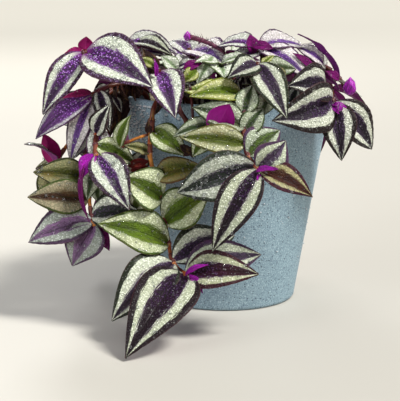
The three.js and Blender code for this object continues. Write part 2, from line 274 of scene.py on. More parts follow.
foot = arc((FOOT_RADIUS - FOOT_ROUND, FOOT_ROUND), FOOT_ROUND, -90, 0, 8)
lip = arc((RIM_RADIUS - WALL / 2, POT_HEIGHT - WALL / 2), WALL / 2, 0, 180, 12)
inside = FOOT_RADIUS - WALL
inner_corner = [(inside, POT_FLOOR + INNER_BEVEL), (inside - INNER_BEVEL, POT_FLOOR)]
bm = bmesh.new()
lathe(bm, [(0, 0), *foot, *lip, *inner_corner, (0, POT_FLOOR)], POT_SEGMENTS)
pot = add_piece("speckled_pot", bm, [speckled_finish()], "pot")
pot.data.set_sharp_from_angle(angle=POT_SHARP)
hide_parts("pot")


# Potting soil: dark peaty mix that fills the pot to below its rim, slightly higher in the middle,
# with a crumbly top and loose crumbs on it.
SOIL_TOP = 114 * MM
SOIL_CROWN = 3 * MM
SOIL_GAP = 0.75 * MM
SOIL_LIFT = 0.35 * MM
SOIL_RELIEF = 1.1 * MM
SOIL_LUMPS = 170
SOIL_GRAINS = 420
SOIL_RINGS = 34
SOIL_SEGMENTS = 128
SOIL_SHARP = math.radians(60)
CRUMBS = 420
CRUMB_SIZES = (0.5, 1.7)
CRUMB_SEED = 7
CRUMB_ROUGHNESS = 900


def soil_finish():
    material = finish("damp_soil")
    place = place_on(material)
    clod, draws = cells(place, 420)
    grit = clouds(place, 900, 6)
    colour = mix(grit, paint(30, 20, 14), paint(84, 62, 44))
    colour = mix(draws[0] * 0.6, colour, paint(58, 40, 28))
    relief = bumps(grit + clod, 0.6 * MM, 0.9)
    return surface(material, Base_Color=colour, Normal=relief, Roughness=0.9)


soil_bottom = POT_FLOOR + SOIL_LIFT
soil_edge = pot_wall_radius(SOIL_TOP - SOIL_CROWN) - WALL - SOIL_GAP
soil_foot = pot_wall_radius(soil_bottom) - WALL - SOIL_GAP


def soil_height(reach):
    """The height of the soil's top, as far as this from the middle."""
    return SOIL_TOP - SOIL_CROWN + 2 * SOIL_CROWN * (1 - (reach / soil_edge) ** 2)


profile = [(0, soil_bottom), (soil_foot, soil_bottom)]
for i in range(SOIL_RINGS + 1):
    reach = soil_edge * (1 - i / SOIL_RINGS)
    profile.append((reach, soil_height(reach)))
bm = bmesh.new()
lathe(bm, profile, SOIL_SEGMENTS)
for vert in bm.verts:
    if vert.co.z > SOIL_TOP - 1.5 * SOIL_CROWN and vert.co.xy.length < soil_edge - 0.5 * MM:
        lumps = noise.noise(vert.co * SOIL_LUMPS) + 0.6 * noise.noise(vert.co * SOIL_GRAINS)
        vert.co.z += SOIL_RELIEF * lumps
draw = random.Random(CRUMB_SEED)
noise.seed_set(CRUMB_SEED)
for i in range(CRUMBS):
    reach = (soil_edge - 3 * MM) * math.sqrt(draw.random())
    bearing = draw.uniform(0, 2 * math.pi)
    size = draw.uniform(*CRUMB_SIZES) * MM
    spot = Vector((reach * math.cos(bearing), reach * math.sin(bearing), soil_height(reach)))
    crumb = bmesh.ops.create_icosphere(bm, subdivisions=1, radius=size, matrix=Matrix.Translation(spot))
    for vert in crumb["verts"]:
        vert.co += 0.35 * size * noise.noise_vector(vert.co * CRUMB_ROUGHNESS)
soil = add_piece("crumbly_soil", bm, [soil_finish()], "soil")
soil.data.set_sharp_from_angle(angle=SOIL_SHARP)
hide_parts("soil")


# Leafy shoots: what each one is. A shoot has the way its leaves face, the knees of its stem from
# the root up, and its leaves. A leaf has its place along the knees, its tip, its width, its
# colouring and, where it differs from its shoot's, the way it faces. Millimetres, as they grew.
FRONT = (0, -0.8, 0.6)
TOP = (0, -0.4, 0.92)
AWAY = (0, 1, 0.15)
DOWN = (0, 0.35, -0.94)
SHOOTS = [
    ("front_low_shoot", FRONT,
     [(-18, -34, 104), (-21, -38, 124), (-33, -47, 134), (-42, -57, 127), (-44, -61, 113),
      (-45, -62, 100), (-42, -65, 86), (-38, -68, 74), (-36, -71, 60), (-34, -75, 49),
      (-31, -84, 40), (-22, -92, 33)],
     [(11, (-56, -143, 2), 36, "plum"), (10, (-65, -112, 14), 31, "mossy"),
      (10.8, (19, -80, 44), 28, "lilac"), (11, (17, -98, 37), 25, "maroon"),
      (9.9, (5, -66, 55), 26, "mossy"), (9, (-74, -84, 63), 29, "green"),
      (8, (-11, -66, 77), 29, "green"), (7, (-60, -74, 88), 29, "green"),
      (6, (-14, -64, 92), 18, "bronze"), (4, (-24, -66, 99), 19, "green"),
      (5, (-60, -66, 105), 8, "olive"), (11, (-14, -98, 27), 7, "magenta")]),
    ("front_right_shoot", FRONT,
     [(10, -34, 104), (10, -38, 124), (9, -52, 134), (8, -66, 131), (9, -74, 122), (9, -79, 111),
      (11, -84, 102), (15, -87, 97), (18, -89, 94)],
     [(7.6, (-9, -98, 51), 25, "plum"), (7, (-29, -88, 81), 30, "slate"),
      (8, (47, -86, 79), 18, "rust"), (7.4, (32, -92, 111), 24, "lilac"),
      (6, (29, -78, 117), 22, "jade"), (5.3, (-28, -80, 111), 18, "khaki", (0, -0.93, 0.36)),
      (2.6, (-22, -72, 134), 18, "lime", (0, -0.7, 0.7)), (4.8, (20, -70, 127), 15, "silver"),
      (3.8, (14, -62, 138), 15, "silver"), (4.5, (-20, -74, 130), 20, "silver")]),
    ("front_inner_shoot", FRONT,
     [(-6, -36, 104), (-6, -40, 124), (-5, -52, 135), (-3, -65, 132), (-6, -71, 123),
      (-9, -79, 111)],
     [(4.75, (1, -84, 131), 17, "magenta", (0, -1, 0.1)), (3, (-27, -66, 141), 20, "lime", TOP),
      (4.4, (-32, -75, 117), 12, "silver"), (4.6, (-20, -74, 100), 15, "green")]),
    ("right_shoot", FRONT,
     [(34, -16, 104), (36, -17, 124), (44, -23, 138), (54, -29, 139), (60, -33, 132),
      (62, -36, 128), (63, -38, 125)],
     [(5, (25, -66, 121), 31, "brown"), (6, (67, -48, 93), 23, "brown"),
      (6, (90, -30, 97), 25, "brown"), (3.6, (30, -50, 137), 26, "brown")]),
    ("right_upper_shoot", TOP,
     [(36, 6, 104), (37, 6, 124), (47, 0, 141), (58, -8, 144), (68, -15, 137), (73, -23, 129)],
     [(4, (42, -24, 165), 6, "spear", (0.6, 0.55, 0.58)),
      (3.2, (43, -12, 157), 18, "pearl", (0.3, -0.75, 0.5)),
      (5, (77, -32, 137), 10, "magenta", AWAY), (2, (44, -22, 147), 14, "pink"),
      (3.6, (64, 6, 140), 18, "violet")]),
    ("crown_right_shoot", FRONT,
     [(19, -26, 104), (19, -30, 124), (20, -43, 139), (19, -53, 148), (16, -57, 151)],
     [(4, (33, -77, 122), 21, "mossy"), (3.7, (-1, -68, 142), 17, "mossy"),
      (2.6, (40, -42, 146), 15, "silver")]),
    ("crown_back_right_shoot", TOP,
     [(21, -6, 104), (21, -7, 124), (22, -13, 142), (21, -20, 153), (18, -24, 157)],
     [(4, (48, -12, 160), 22, "pink"), (3.6, (50, -44, 142), 21, "pink"),
      (4, (-6, -20, 157), 19, "violet"), (4, (14, -30, 166), 12, "magenta", AWAY),
      (3, (0, -42, 152), 16, "violet"), (2.6, (40, 8, 152), 22, "violet")]),
    ("left_arching_shoot", TOP,
     [(-34, 4, 104), (-36, 4, 124), (-47, 0, 144), (-57, -5, 155), (-63, -8, 157)],
     [(4, (-30, -14, 152), 23, "violet"), (3.2, (-32, -28, 148), 18, "plum"),
      (4, (-76, -8, 151), 22, "violet"), (3, (-58, 26, 148), 25, "plum"),
      (2.6, (-28, 8, 142), 20, "silver")]),
    ("crown_middle_shoot", TOP,
     [(-12, -6, 104), (-13, -6, 124), (-18, -6, 143), (-23, -6, 155)],
     [(3, (-2, -28, 151), 29, "pink"), (3, (-2, -12, 160), 9, "spear", AWAY),
      (2.2, (-28, -42, 147), 19, "violet"), (2.5, (-34, 18, 156), 23, "violet")]),
    ("crown_front_shoot", TOP,
     [(-2, -20, 104), (-3, -21, 124), (-5, -30, 140), (-4, -37, 147)],
     [(3, (2, -56, 140), 17, "mint"), (3, (-20, -50, 148), 13, "mint"),
      (3, (12, -46, 150), 14, "mint")]),
    ("left_crown_shoot", TOP,
     [(-30, -14, 104), (-32, -15, 124), (-46, -22, 144), (-63, -30, 154), (-77, -37, 156),
      (-85, -41, 155)],
     [(5, (-43, -62, 138), 35, "glitter", FRONT), (5, (-107, -53, 121), 20, "glitter", FRONT),
      (5, (-82, -42, 165), 10, "crimson", AWAY), (5, (-95, -46, 154), 8, "crimson", AWAY),
      (3, (-66, -6, 148), 18, "violet")]),
    ("left_inner_shoot", FRONT,
     [(-26, -26, 104), (-28, -28, 124), (-36, -38, 140), (-41, -46, 146)],
     [(3, (-30, -69, 121), 24, "glitter"), (2.5, (-22, -54, 148), 9, "magenta"),
      (2.8, (-54, -46, 150), 14, "plum", TOP), (1.5, (-10, -46, 137), 16, "mossy", TOP)]),
    ("left_rim_shoot", FRONT,
     [(-38, -22, 104), (-41, -24, 124), (-52, -34, 136), (-66, -43, 137), (-75, -48, 134),
      (-79, -50, 131)],
     [(5, (-114, -60, 112), 18, "amethyst"), (4.6, (-101, -46, 128), 16, "magenta", DOWN),
      (4, (-68, -60, 112), 13, "brown"), (5, (-92, -48, 92), 15, "pink"),
      (2, (-60, -10, 141), 18, "plum")]),
    ("left_front_shoot", FRONT,
     [(-44, -12, 104), (-47, -13, 124), (-59, -25, 135), (-70, -38, 131), (-75, -48, 121),
      (-76, -57, 110), (-76, -65, 102), (-75, -68, 99)],
     [(7, (-56, -84, 71), 23, "dusk"), (6.6, (-83, -79, 66), 6.5, "orchid", AWAY),
      (4, (-91, -56, 92), 18, "violet"), (5, (-58, -62, 122), 13, "brown"),
      (5.6, (-54, -70, 94), 16, "green"), (4.6, (-78, -68, 86), 16, "violet"),
      (2.4, (-42, -36, 141), 16, "brown", TOP)]),
    ("left_low_shoot", FRONT,
     [(-46, 2, 104), (-49, 2, 124), (-61, -7, 134), (-73, -20, 127), (-80, -33, 112),
      (-83, -44, 96), (-83, -50, 84), (-81, -55, 72), (-79, -60, 62), (-77, -64, 57)],
     [(9, (-90, -70, 35), 27, "rose"), (8.4, (-116, -62, 48), 26, "rose"),
      (8, (-51, -64, 66), 23, "slate"), (7, (-117, -58, 73), 22, "umber"),
      (6, (-114, -52, 86), 20, "olive"), (9, (-68, -70, 45), 9, "magenta"),
      (5, (-66, -48, 80), 17, "slate")]),
    ("left_side_shoot", FRONT,
     [(-46, 14, 104), (-50, 14, 124), (-63, 4, 133), (-78, -10, 124), (-90, -24, 106),
      (-100, -34, 93), (-103, -39, 87)],
     [(6, (-108, -42, 108), 12, "crimson", AWAY),
      (5.6, (-118, -50, 108), 12, "lilac", (0.5, 0.1, 0.8)),
      (5, (-112, -10, 82), 20, "olive"), (3, (-102, -6, 114), 24, "violet"),
      (4, (-84, -34, 92), 16, "lilac"), (6, (-104, -44, 60), 20, "olive")]),
]

# The shoots at the sides and back grow by one rule: bearing from the front in degrees, distance
# of the root from the middle, fall below the rim and leaf length.
TRAILING = [
    ("right_side_shoot", 116, 42, 0, 34), ("right_back_shoot", 142, 44, 14, 42),
    ("back_right_shoot", 157, 42, 50, 48), ("back_shoot", 181, 46, 68, 50),
    ("back_left_shoot", 205, 42, 38, 48), ("left_back_shoot", 229, 46, 66, 48),
    ("left_back_side_shoot", 253, 42, 38, 46),
]
SHOULDER_REACH = 15
SHOULDER_HEIGHT = 121
KNEE_DROP = 17
TRAILING_TONES = ["plum", "slate", "violet", "green", "mossy", "glitter", "olive"]

# The shoots that stand at the back of the crown: root, height above the soil and bearing they
# lean to.
UPRIGHT = [
    ("crown_back_shoot", (4, 22), 34, 170), ("crown_back_left_shoot", (-20, 24), 32, 215),
    ("crown_back_side_shoot", (24, 18), 26, 135),
]
UPRIGHT_KNEES = (0.25, 0.62, 1)
UPRIGHT_LEAN = 16
UPRIGHT_LEAVES = 5
LEAF_TURN = 137
UPRIGHT_TONES = ["violet", "pink", "plum", "glitter", "mint"]

# For both: the height at which a stem leaves its root, a leaf's width as a share of its length, and
# the two large numbers that make a draw of a sine.
ROOT_HEIGHT = 104
LEAF_SLENDERNESS = 0.46
SWING_STEP = 12.9898
SWING_REACH = 43758.5453
UP = Vector((0, 0, 1))


def swing_of(seed):
    """A repeatable draw between -1 and 1, the same as for the solids."""
    wave = math.sin(seed * SWING_STEP) * SWING_REACH
    return 2 * (wave - math.floor(wave)) - 1


def outwards(bearing):
    angle = math.radians(bearing)
    return Vector((math.sin(angle), -math.cos(angle), 0))


def trailing_shoot(name, bearing, root_radius, fall, leaf_length, number):
    """A shoot that climbs over the rim and hangs down outside it."""
    out = outwards(bearing)
    along = outwards(bearing + 90)
    sway = 6 * swing_of(number + 1)
    rim = RIM_RADIUS / MM
    shoulder = rim + SHOULDER_REACH
    route = [(root_radius, 0, ROOT_HEIGHT), (root_radius + 2, 0, 124), (root_radius + 12, 0.3 * sway, 137),
             (rim + 7, 0.6 * sway, 134), (shoulder, sway, SHOULDER_HEIGHT)]
    steps = round(fall / KNEE_DROP)
    for i in range(1, steps + 1):
        route.append((shoulder + 3 * i, sway * (1 + 0.5 * i), SHOULDER_HEIGHT - fall * i / steps))
    knees = [out * radius + along * drift + UP * z for radius, drift, z in route]
    last = len(knees) - 1
    leaves = []
    for i in range(2, last + 1):
        length = leaf_length * (1 - 0.06 * (i - 2)) * (1 + 0.08 * swing_of(10 * number + i))
        sideways = 0.76 if i % 2 else -0.76
        reach = out * 0.42 + along * sideways - UP * 0.3
        tone = TRAILING_TONES[(3 * number + i) % len(TRAILING_TONES)]
        leaves.append((i, knees[i] + reach * length, LEAF_SLENDERNESS * length, tone))
    end = 0.8 * leaf_length
    tip = knees[last] + (out * 0.3 - UP * 0.9) * end
    leaves.append((last, tip, LEAF_SLENDERNESS * end, TRAILING_TONES[number]))
    return name, out * 0.8 + UP * 0.6, knees, leaves


def upright_shoot(name, root, height, bearing, number):
    """A shoot that stands in the crown and has its leaves all round."""
    lean = outwards(bearing)
    knees = [Vector((*root, ROOT_HEIGHT))]
    for share in UPRIGHT_KNEES:
        knee = Vector((*root, SOIL_TOP / MM + height * share)) + lean * (UPRIGHT_LEAN * share * share)
        knees.append(knee)
    leaves = []
    for i in range(UPRIGHT_LEAVES):
        place = 1 + 0.5 * i
        length = 44 - 3 * i + 3 * swing_of(20 * number + i)
        way = outwards(bearing + 150 + LEAF_TURN * i) + UP * (0.05 * i - 0.1)
        tip = knees[math.floor(place + 0.5)] + way * (0.95 * length)
        tone = UPRIGHT_TONES[(i + 2 * number) % len(UPRIGHT_TONES)]
        leaves.append((place, tip, LEAF_SLENDERNESS * length, tone))
    return name, UP, knees, leaves


# Stems: round, juicy, orange-brown to dark red, a little swollen at each node, with a papery
# sheath above every node that ends in a fringe of pale hairs below the leaf.
STEM_RADIUS = 1.6 * MM
STEM_TIP_RADIUS = 1.05 * MM
STEM_SIDES = 14
STEM_STEP = 1.6 * MM
KNOT_LENGTH = 1.6 * MM
KNOT_SWELL = 0.35 * MM

# A short step along the knees, to find which way a stem runs, and the heights between which stems
# darken into painted shade of the crown.
NUDGE = 0.02
CROWN_SHADE = (112 * MM, 126 * MM)

# A sheath from its foot to its mouth and back into it: the share of its length, and how far it
# stands off the stem, in millimetres. Below its lowest foot a stem is bare.
SHEATH = [(0, -0.1), (0.06, 0.16), (0.2, 0.3), (0.45, 0.36), (0.7, 0.42), (0.9, 0.6), (0.97, 0.72),
          (1, 0.62), (0.985, -0.1)]
SHEATH_LENGTH = 5.5 * MM
LOWEST_SHEATH = 0.6
SHEATH_HAIRS = 14
HAIR_RADIUS = 0.05 * MM


def stem_point(knees, place):
    """The point of the stem at a place that counts knees, on a smooth curve through them all."""
    last = len(knees) - 1
    place = min(max(place, 0), last)
    i = min(int(place), last - 1)
    share = place - i
    row = [2 * knees[0] - knees[1], *knees, 2 * knees[-1] - knees[-2]]
    before, start, end, after = row[i:i + 4]
    leave = 0.5 * (end - before)
    arrive = 0.5 * (after - start)
    square = share * share * (3 * (end - start) - 2 * leave - arrive)
    return start + share * leave + square + share**3 * (2 * (start - end) + leave + arrive)


def stem_radius(knees, place):
    return STEM_RADIUS + (STEM_TIP_RADIUS - STEM_RADIUS) * place / (len(knees) - 1)


def add_tube(bm, places, centre_of, radius_of, material=0):
    """A closed tube with round ends along places. Its UV map runs round it and along it."""
    uv = bm.loops.layers.uv.verify()
    grid = bmesh.ops.create_grid(bm, x_segments=STEM_SIDES, y_segments=len(places) - 1, size=1)
    faces = {face for vert in grid["verts"] for face in vert.link_faces}
    rings = []
    across = Vector((1, 0, 0))
    for place in places:
        way = (centre_of(place + NUDGE) - centre_of(place - NUDGE)).normalized()
        across = (across - way * across.dot(way)).normalized()
        rings.append((centre_of(place), across, way.cross(across), radius_of(place)))
    for face in faces:
        face.material_index = material
        for loop in face.loops:
            loop[uv].uv = ((loop.vert.co.x + 1) / 2, (loop.vert.co.y + 1) / 2)
    for vert in grid["verts"]:
        centre, first, second, radius = rings[round((vert.co.y + 1) / 2 * (len(places) - 1))]
        angle = math.pi * vert.co.x
        vert.co = centre + radius * (first * math.cos(angle) + second * math.sin(angle))
    bmesh.ops.remove_doubles(bm, verts=grid["verts"], dist=1e-6)
    open_edges = [edge for edge in bm.edges if edge.is_boundary]
    caps = bmesh.ops.holes_fill(bm, edges=open_edges, sides=0)["faces"]
    for face in caps:
        face.material_index = material
    bmesh.ops.recalc_face_normals(bm, faces=list(faces & set(bm.faces)) + caps)


def wrap_of(material):
    """How far round and how far along its piece a spot is, by the UV map."""
    spot = node("SeparateXYZ", {0: node("UVMap", tree=material.node_tree)})
    return spot, spot.part(1)


def in_crown(place):
    """How deep in the crown's shade a spot is, by its height: the mask of a painted shade."""
    return rise(node("SeparateXYZ", {0: place}, 2), *CROWN_SHADE)


def stem_finish(name, deep, bright, pale):
    material = finish(name)
    place = place_on(material)
    around, along = wrap_of(material)
    streak = clouds(node("CombineXYZ", {0: around * 14, 1: along * 26}), 1, 4)
    colour = mix(rise(clouds(place, 130, 3), 0.38, 0.62), paint(*deep), paint(*bright))
    colour = mix(rise(streak, 0.5, 0.7), colour, paint(*pale))
    # Darker near the root, which is the stem's age, and high in the crown, which is painted shade.
    age_and_crown_shade = calc("MAXIMUM", rise(along, 0.42, 0.3), in_crown(place))
    colour = mix(age_and_crown_shade * 0.9, colour, paint(60, 10, 16))
    colour = mix(rise(streak, 0.45, 0.25) * 0.8, colour, paint(58, 16, 14))
    return surface(material, Base_Color=colour, Normal=bumps(streak, 0.3 * MM, 0.7), Roughness=0.4,
                   Specular_IOR_Level=0.3, Coat_Weight=0.06)


def sheath_finish():
    material = finish("sheath_skin")
    place = place_on(material)
    around, along = wrap_of(material)
    ribs = calc("SINE", around * 90)
    colour = mix(rise(clouds(place, 240, 3), 0.38, 0.62), paint(84, 28, 26), paint(124, 64, 42))
    colour = mix(rise(ribs, 0.5, 1) * 0.5, colour, paint(84, 22, 44))
    # Painted shade: sheaths turn darker high in the crown.
    colour = mix(in_crown(place) * 0.8, colour, paint(66, 12, 26))
    colour = mix(rise(along, 0.8, 0.98), colour, paint(142, 44, 112))
    return surface(material, Base_Color=colour, Normal=bumps(ribs, 0.1 * MM, 0.6), Roughness=0.45,
                   Specular_IOR_Level=0.3)


def hair_finish():
    material = finish("pale_hairs")
    colour = mix(clouds(place_on(material), 900), paint(214, 190, 210), paint(240, 232, 236))
    return surface(material, Base_Color=colour, Roughness=0.5)


def template(name, bm, material=0):
    """A small mesh, one unit in size, that is set many times into a larger one."""
    mesh = bpy.data.meshes.new(name)
    for face in bm.faces:
        face.material_index = material
        face.smooth = True
    bm.to_mesh(mesh)
    bm.free()
    return mesh


def set_in(bm, mesh, spot, way, width, length):
    """Sets a template into a larger mesh, at a spot and along a way."""
    placed = mesh.copy()
    turn = way.to_track_quat("Z", "Y").to_matrix().to_4x4()
    placed.transform(Matrix.Translation(spot) @ turn @ Matrix.Diagonal((width, width, length, 1)))
    bm.from_mesh(placed)
    bpy.data.meshes.remove(placed)


bm = bmesh.new()
bmesh.ops.create_cone(bm, cap_ends=True, segments=3, radius1=1, radius2=0.1, depth=1)
bmesh.ops.translate(bm, verts=bm.verts, vec=(0, 0, 0.5))
hair = template("hair", bm, 2)


def add_sheath(bm, knees, place, draw):
    """The sheath below a leaf, from its node up to its hairy mouth."""
    mouth = stem_point(knees, place)
    run = mouth - stem_point(knees, place - NUDGE)
    low = max(LOWEST_SHEATH, place - SHEATH_LENGTH * NUDGE / run.length)

    def centre_of(number):
        number = min(max(number, 0), len(SHEATH) - 1)
        i = min(int(number), len(SHEATH) - 2)
        share = SHEATH[i][0] + (SHEATH[i + 1][0] - SHEATH[i][0]) * (number - i)
        return stem_point(knees, low + (place - low) * share)

    def radius_of(number):
        share, swell = SHEATH[number]
        return stem_radius(knees, low + (place - low) * share) + swell * MM

    add_tube(bm, range(len(SHEATH)), centre_of, radius_of, 1)
    way = run.normalized()
    rim = stem_radius(knees, place) + 0.6 * MM
    side = way.orthogonal().normalized()
    for i in range(SHEATH_HAIRS):
        around = Quaternion(way, 2 * math.pi * (i + 0.6 * draw.random()) / SHEATH_HAIRS) @ side
        lean = (way + around * draw.uniform(0.1, 0.5)).normalized()
        length = draw.uniform(1.4, 2.8) * MM
        set_in(bm, hair, mouth + around * rim - way * 0.3 * MM, lean, HAIR_RADIUS, length)


def add_stem(name, knees, nodes, finishes):
    """The stem of a shoot, with its sheaths."""
    bm = bmesh.new()
    places = [0.0]
    for i in range(len(knees) - 1):
        steps = max(2, round((knees[i + 1] - knees[i]).length / STEM_STEP))
        places += [i + (k + 1) / steps for k in range(steps)]

    def centre_of(place):
        return stem_point(knees, place)

    def radius_of(place):
        radius = stem_radius(knees, place)
        for knot in nodes:
            gap = (centre_of(knot) - centre_of(place)).length / KNOT_LENGTH
            radius += KNOT_SWELL * math.exp(-gap * gap)
        return radius

    add_tube(bm, places, centre_of, radius_of)
    for number, place in enumerate(nodes):
        add_sheath(bm, knees, place, random.Random(f"{name} sheath {number}"))
    stem = add_piece(name.replace("_shoot", "_stem"), bm, finishes, "leaf")
    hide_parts(name)


# Leaves: fleshy, oval with a drawn-out tip, arched along their length and folded along the
# midrib. On top each half has a dark margin and a silver band beside the dark middle; the
# underside is magenta purple.
BLADE_THICKNESS = 0.45 * MM
BLADE_GRID = (20, 32)
LEAF_TAPER = 0.68
BASE_SHARE = 0.07
TIP_SHARE = 0.02
ARCH = 0.12
BASE_FOLD = math.radians(24)
TIP_FOLD = math.radians(8)

# What a leaf's colouring means: margin, band, middle and underside colours, then the middle's and
# the margin's share of the half-width, its violet and its age.
TONES = {
    "plum": ((26, 10, 15), (192, 198, 174), (25, 7, 18), (134, 20, 110), 0.36, 0.27, 0.08, 0.0),
    "mossy": ((34, 44, 22), (214, 220, 200), (56, 44, 60), (120, 40, 100), 0.36, 0.26, 0.08, 0.05),
    "violet": ((62, 36, 66), (220, 222, 214), (78, 44, 92), (134, 34, 120), 0.27, 0.16, 0.6, 0.0),
    "maroon": ((54, 10, 22), (196, 200, 166), (48, 12, 26), (122, 22, 76), 0.44, 0.25, 0.1, 0.0),
    "rust": ((60, 6, 34), (166, 158, 114), (62, 22, 12), (134, 22, 84), 0.42, 0.3, 0.0, 0.1),
    "slate": ((44, 54, 38), (218, 224, 208), (50, 58, 50), (112, 56, 90), 0.34, 0.22, 0.08, 0.0),
    "lilac": ((82, 56, 88), (212, 222, 196), (84, 68, 92), (140, 60, 132), 0.34, 0.24, 0.02, 0.0),
    "jade": ((88, 58, 92), (204, 216, 190), (84, 106, 44), (122, 96, 96), 0.3, 0.24, 0.04, 0.0),
    "green": ((64, 88, 22), (210, 218, 178), (84, 108, 16), (122, 96, 96), 0.4, 0.14, 0.0, 0.12),
    "olive": ((56, 66, 24), (156, 152, 108), (70, 76, 22), (122, 84, 84), 0.38, 0.15, 0.0, 0.4),
    "umber": ((62, 84, 26), (176, 164, 134), (72, 46, 28), (122, 84, 84), 0.3, 0.14, 0.0, 0.25),
    "bronze": ((98, 74, 36), (150, 136, 84), (82, 92, 20), (122, 70, 60), 0.46, 0.14, 0.0, 0.4),
    "khaki": ((84, 90, 28), (206, 206, 164), (84, 98, 16), (128, 96, 84), 0.42, 0.14, 0.0, 0.4),
    "lime": ((132, 146, 26), (214, 216, 142), (112, 138, 26), (150, 150, 110), 0.4, 0.14, 0.0, 0.3),
    "mint": ((112, 142, 82), (234, 240, 224), (160, 184, 140), (150, 150, 130), 0.26, 0.13, 0.0, 0.1),
    "silver": ((64, 84, 44), (186, 196, 170), (66, 88, 46), (130, 110, 110), 0.3, 0.16, 0.05, 0.15),
    "glitter": ((66, 36, 62), (224, 230, 214), (70, 46, 80), (150, 18, 130), 0.36, 0.25, 1.0, 0.0),
    "pearl": ((104, 60, 90), (240, 242, 232), (196, 184, 196), (120, 24, 96), 0.12, 0.1, 0.1, 0.0),
    "pink": ((70, 38, 78), (234, 226, 228), (112, 76, 150), (146, 44, 128), 0.26, 0.13, 0.6, 0.0),
    "rose": ((92, 66, 96), (176, 184, 176), (144, 110, 150), (150, 54, 126), 0.34, 0.2, 0.0, 0.0),
    "dusk": ((50, 34, 46), (210, 216, 202), (46, 24, 58), (150, 18, 130), 0.27, 0.24, 0.5, 0.0),
    "amethyst": ((74, 44, 78), (212, 206, 216), (104, 62, 122), (150, 18, 130), 0.56, 0.13, 1.0, 0.0),
    "brown": ((34, 22, 18), (230, 234, 218), (36, 24, 40), (134, 26, 112), 0.36, 0.28, 0.1, 0.0),
    "spear": ((92, 34, 96), (160, 120, 170), (98, 38, 104), (112, 40, 122), 0.3, 0.14, 0.6, 0.0),
    "magenta": ((124, 0, 104), (150, 6, 128), (132, 0, 114), (146, 2, 126), 1.3, 0.1, 0.0, 0.0),
    "crimson": ((148, 6, 84), (170, 18, 108), (156, 10, 94), (162, 12, 100), 1.3, 0.1, 0.0, 0.0),
    "orchid": ((156, 10, 156), (190, 50, 196), (174, 22, 178), (176, 24, 178), 1.3, 0.1, 0.0, 0.0),
    "ember": ((144, 26, 16), (182, 66, 36), (112, 14, 12), (140, 32, 22), 1.3, 0.1, 0.0, 0.2),
    "dried": ((56, 24, 14), (96, 54, 32), (46, 18, 12), (64, 28, 18), 1.3, 0.1, 0.0, 0.6),
}

# How a leaf meets its stem and the skin of the solids: how far below the last knee it grows, half
# the solids' thickness, and where and how near its rows have to lie to that skin.
BASE_SINK = 0.25
CAD_HALF_THICKNESS = 0.4 * MM
FIT_ROWS = (0.36, 0.68, 1)
SHED_GAP = 3 * MM

# The ways in which a crowded leaf may have bent, as lift and swing in degrees.
BENDS = [(lift, swing) for lift in range(-32, 33, 8) for swing in range(-40, 41, 10)]

# Leaves, by shoot and number, that are still unfolding: young growth stands in their place.
UNFOLDING = {("right_upper_shoot", 2), ("crown_middle_shoot", 1), ("left_inner_shoot", 1),
             ("left_rim_shoot", 1), ("left_front_shoot", 1), ("crown_back_right_shoot", 3)}

# Leaves that have turned a little to lie over or under a neighbour: the way they face now, and how
# far the tip has moved, in millimetres.
SETTLED = {
    ("front_right_shoot", 0): (FRONT, (0, -3, 0)),
    ("front_right_shoot", 1): ((0, -0.98, 0.2), (0, 4, 0)),
    ("front_right_shoot", 2): (FRONT, (0, -6, 1)),
    ("front_right_shoot", 3): ((0.4, -0.9, 0.15), (0, 6, 0)),
    ("right_upper_shoot", 1): ((0.25, -0.62, 0.7), (-2, -2, 0)),
    ("crown_back_right_shoot", 0): ((0, -0.45, 0.9), (0, 0, -5)),
    ("right_shoot", 0): ((0.5, -0.85, 0.05), (0, -1, -1.5)),
    ("right_shoot", 3): ((0.3, -0.85, 0.4), (-1, 0, -5)),
    ("left_side_shoot", 3): ((-0.3, -0.95, 0.1), (2, 0, -6)),
    ("left_low_shoot", 1): (FRONT, (1.6, 0, -9.5)),
    ("left_low_shoot", 3): ((0, -0.95, 0.3), (0, 2, -2.5)),
    ("left_low_shoot", 4): ((0, -0.95, 0.3), (-1, 3, -3.5)),
    ("left_back_shoot", 1): ((-0.6, 0.5, 0.6), (10, 4, -18)),
    ("left_back_side_shoot", 1): ((-0.7, 0.3, 0.6), (8, 6, -14)),
}


def outline(t, taper):
    """Half-width of a leaf as a share of its widest: a round base and a drawn-out tip."""
    share = max(0.0, math.sin(math.pi * t**taper)) ** 0.9
    return max(share, BASE_SHARE if t < 0.5 else TIP_SHARE)


def arch_height(length, t):
    return ARCH * length * 4 * t * (1 - t)


def leaf_axes(chord, face):
    """The upper face's direction and the sideways direction of a leaf."""
    up = (face - chord * (face.dot(chord) / chord.length_squared)).normalized()
    return up, chord.cross(up).normalized()


def skin_of(name):
    """The points of a solid's skin, to find the nearest of."""
    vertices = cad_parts[name].data.vertices
    skin = KDTree(len(vertices))
    for i, vertex in enumerate(vertices):
        skin.insert(vertex.co, i)
    skin.balance()
    return skin


def grown_chord(base, tip, face, skin):
    """From base to tip as the leaf grew: bent clear of the crowd, as its node's skin shows."""
    straight = tip - base
    up, side = leaf_axes(straight, face)
    best = None
    for lift, swing in BENDS:
        chord = Quaternion(side, math.radians(lift)) @ straight
        chord = Quaternion(up, math.radians(swing)) @ chord
        own_up = leaf_axes(chord, face)[0]
        gap = 0
        for t in FIT_ROWS:
            high = arch_height(chord.length, t) + CAD_HALF_THICKNESS
            gap += skin.find(base + chord * t + own_up * high)[2]
        if best is None or gap < best[0]:
            best = (gap, chord)
    return best[1] if best[0] < SHED_GAP else None


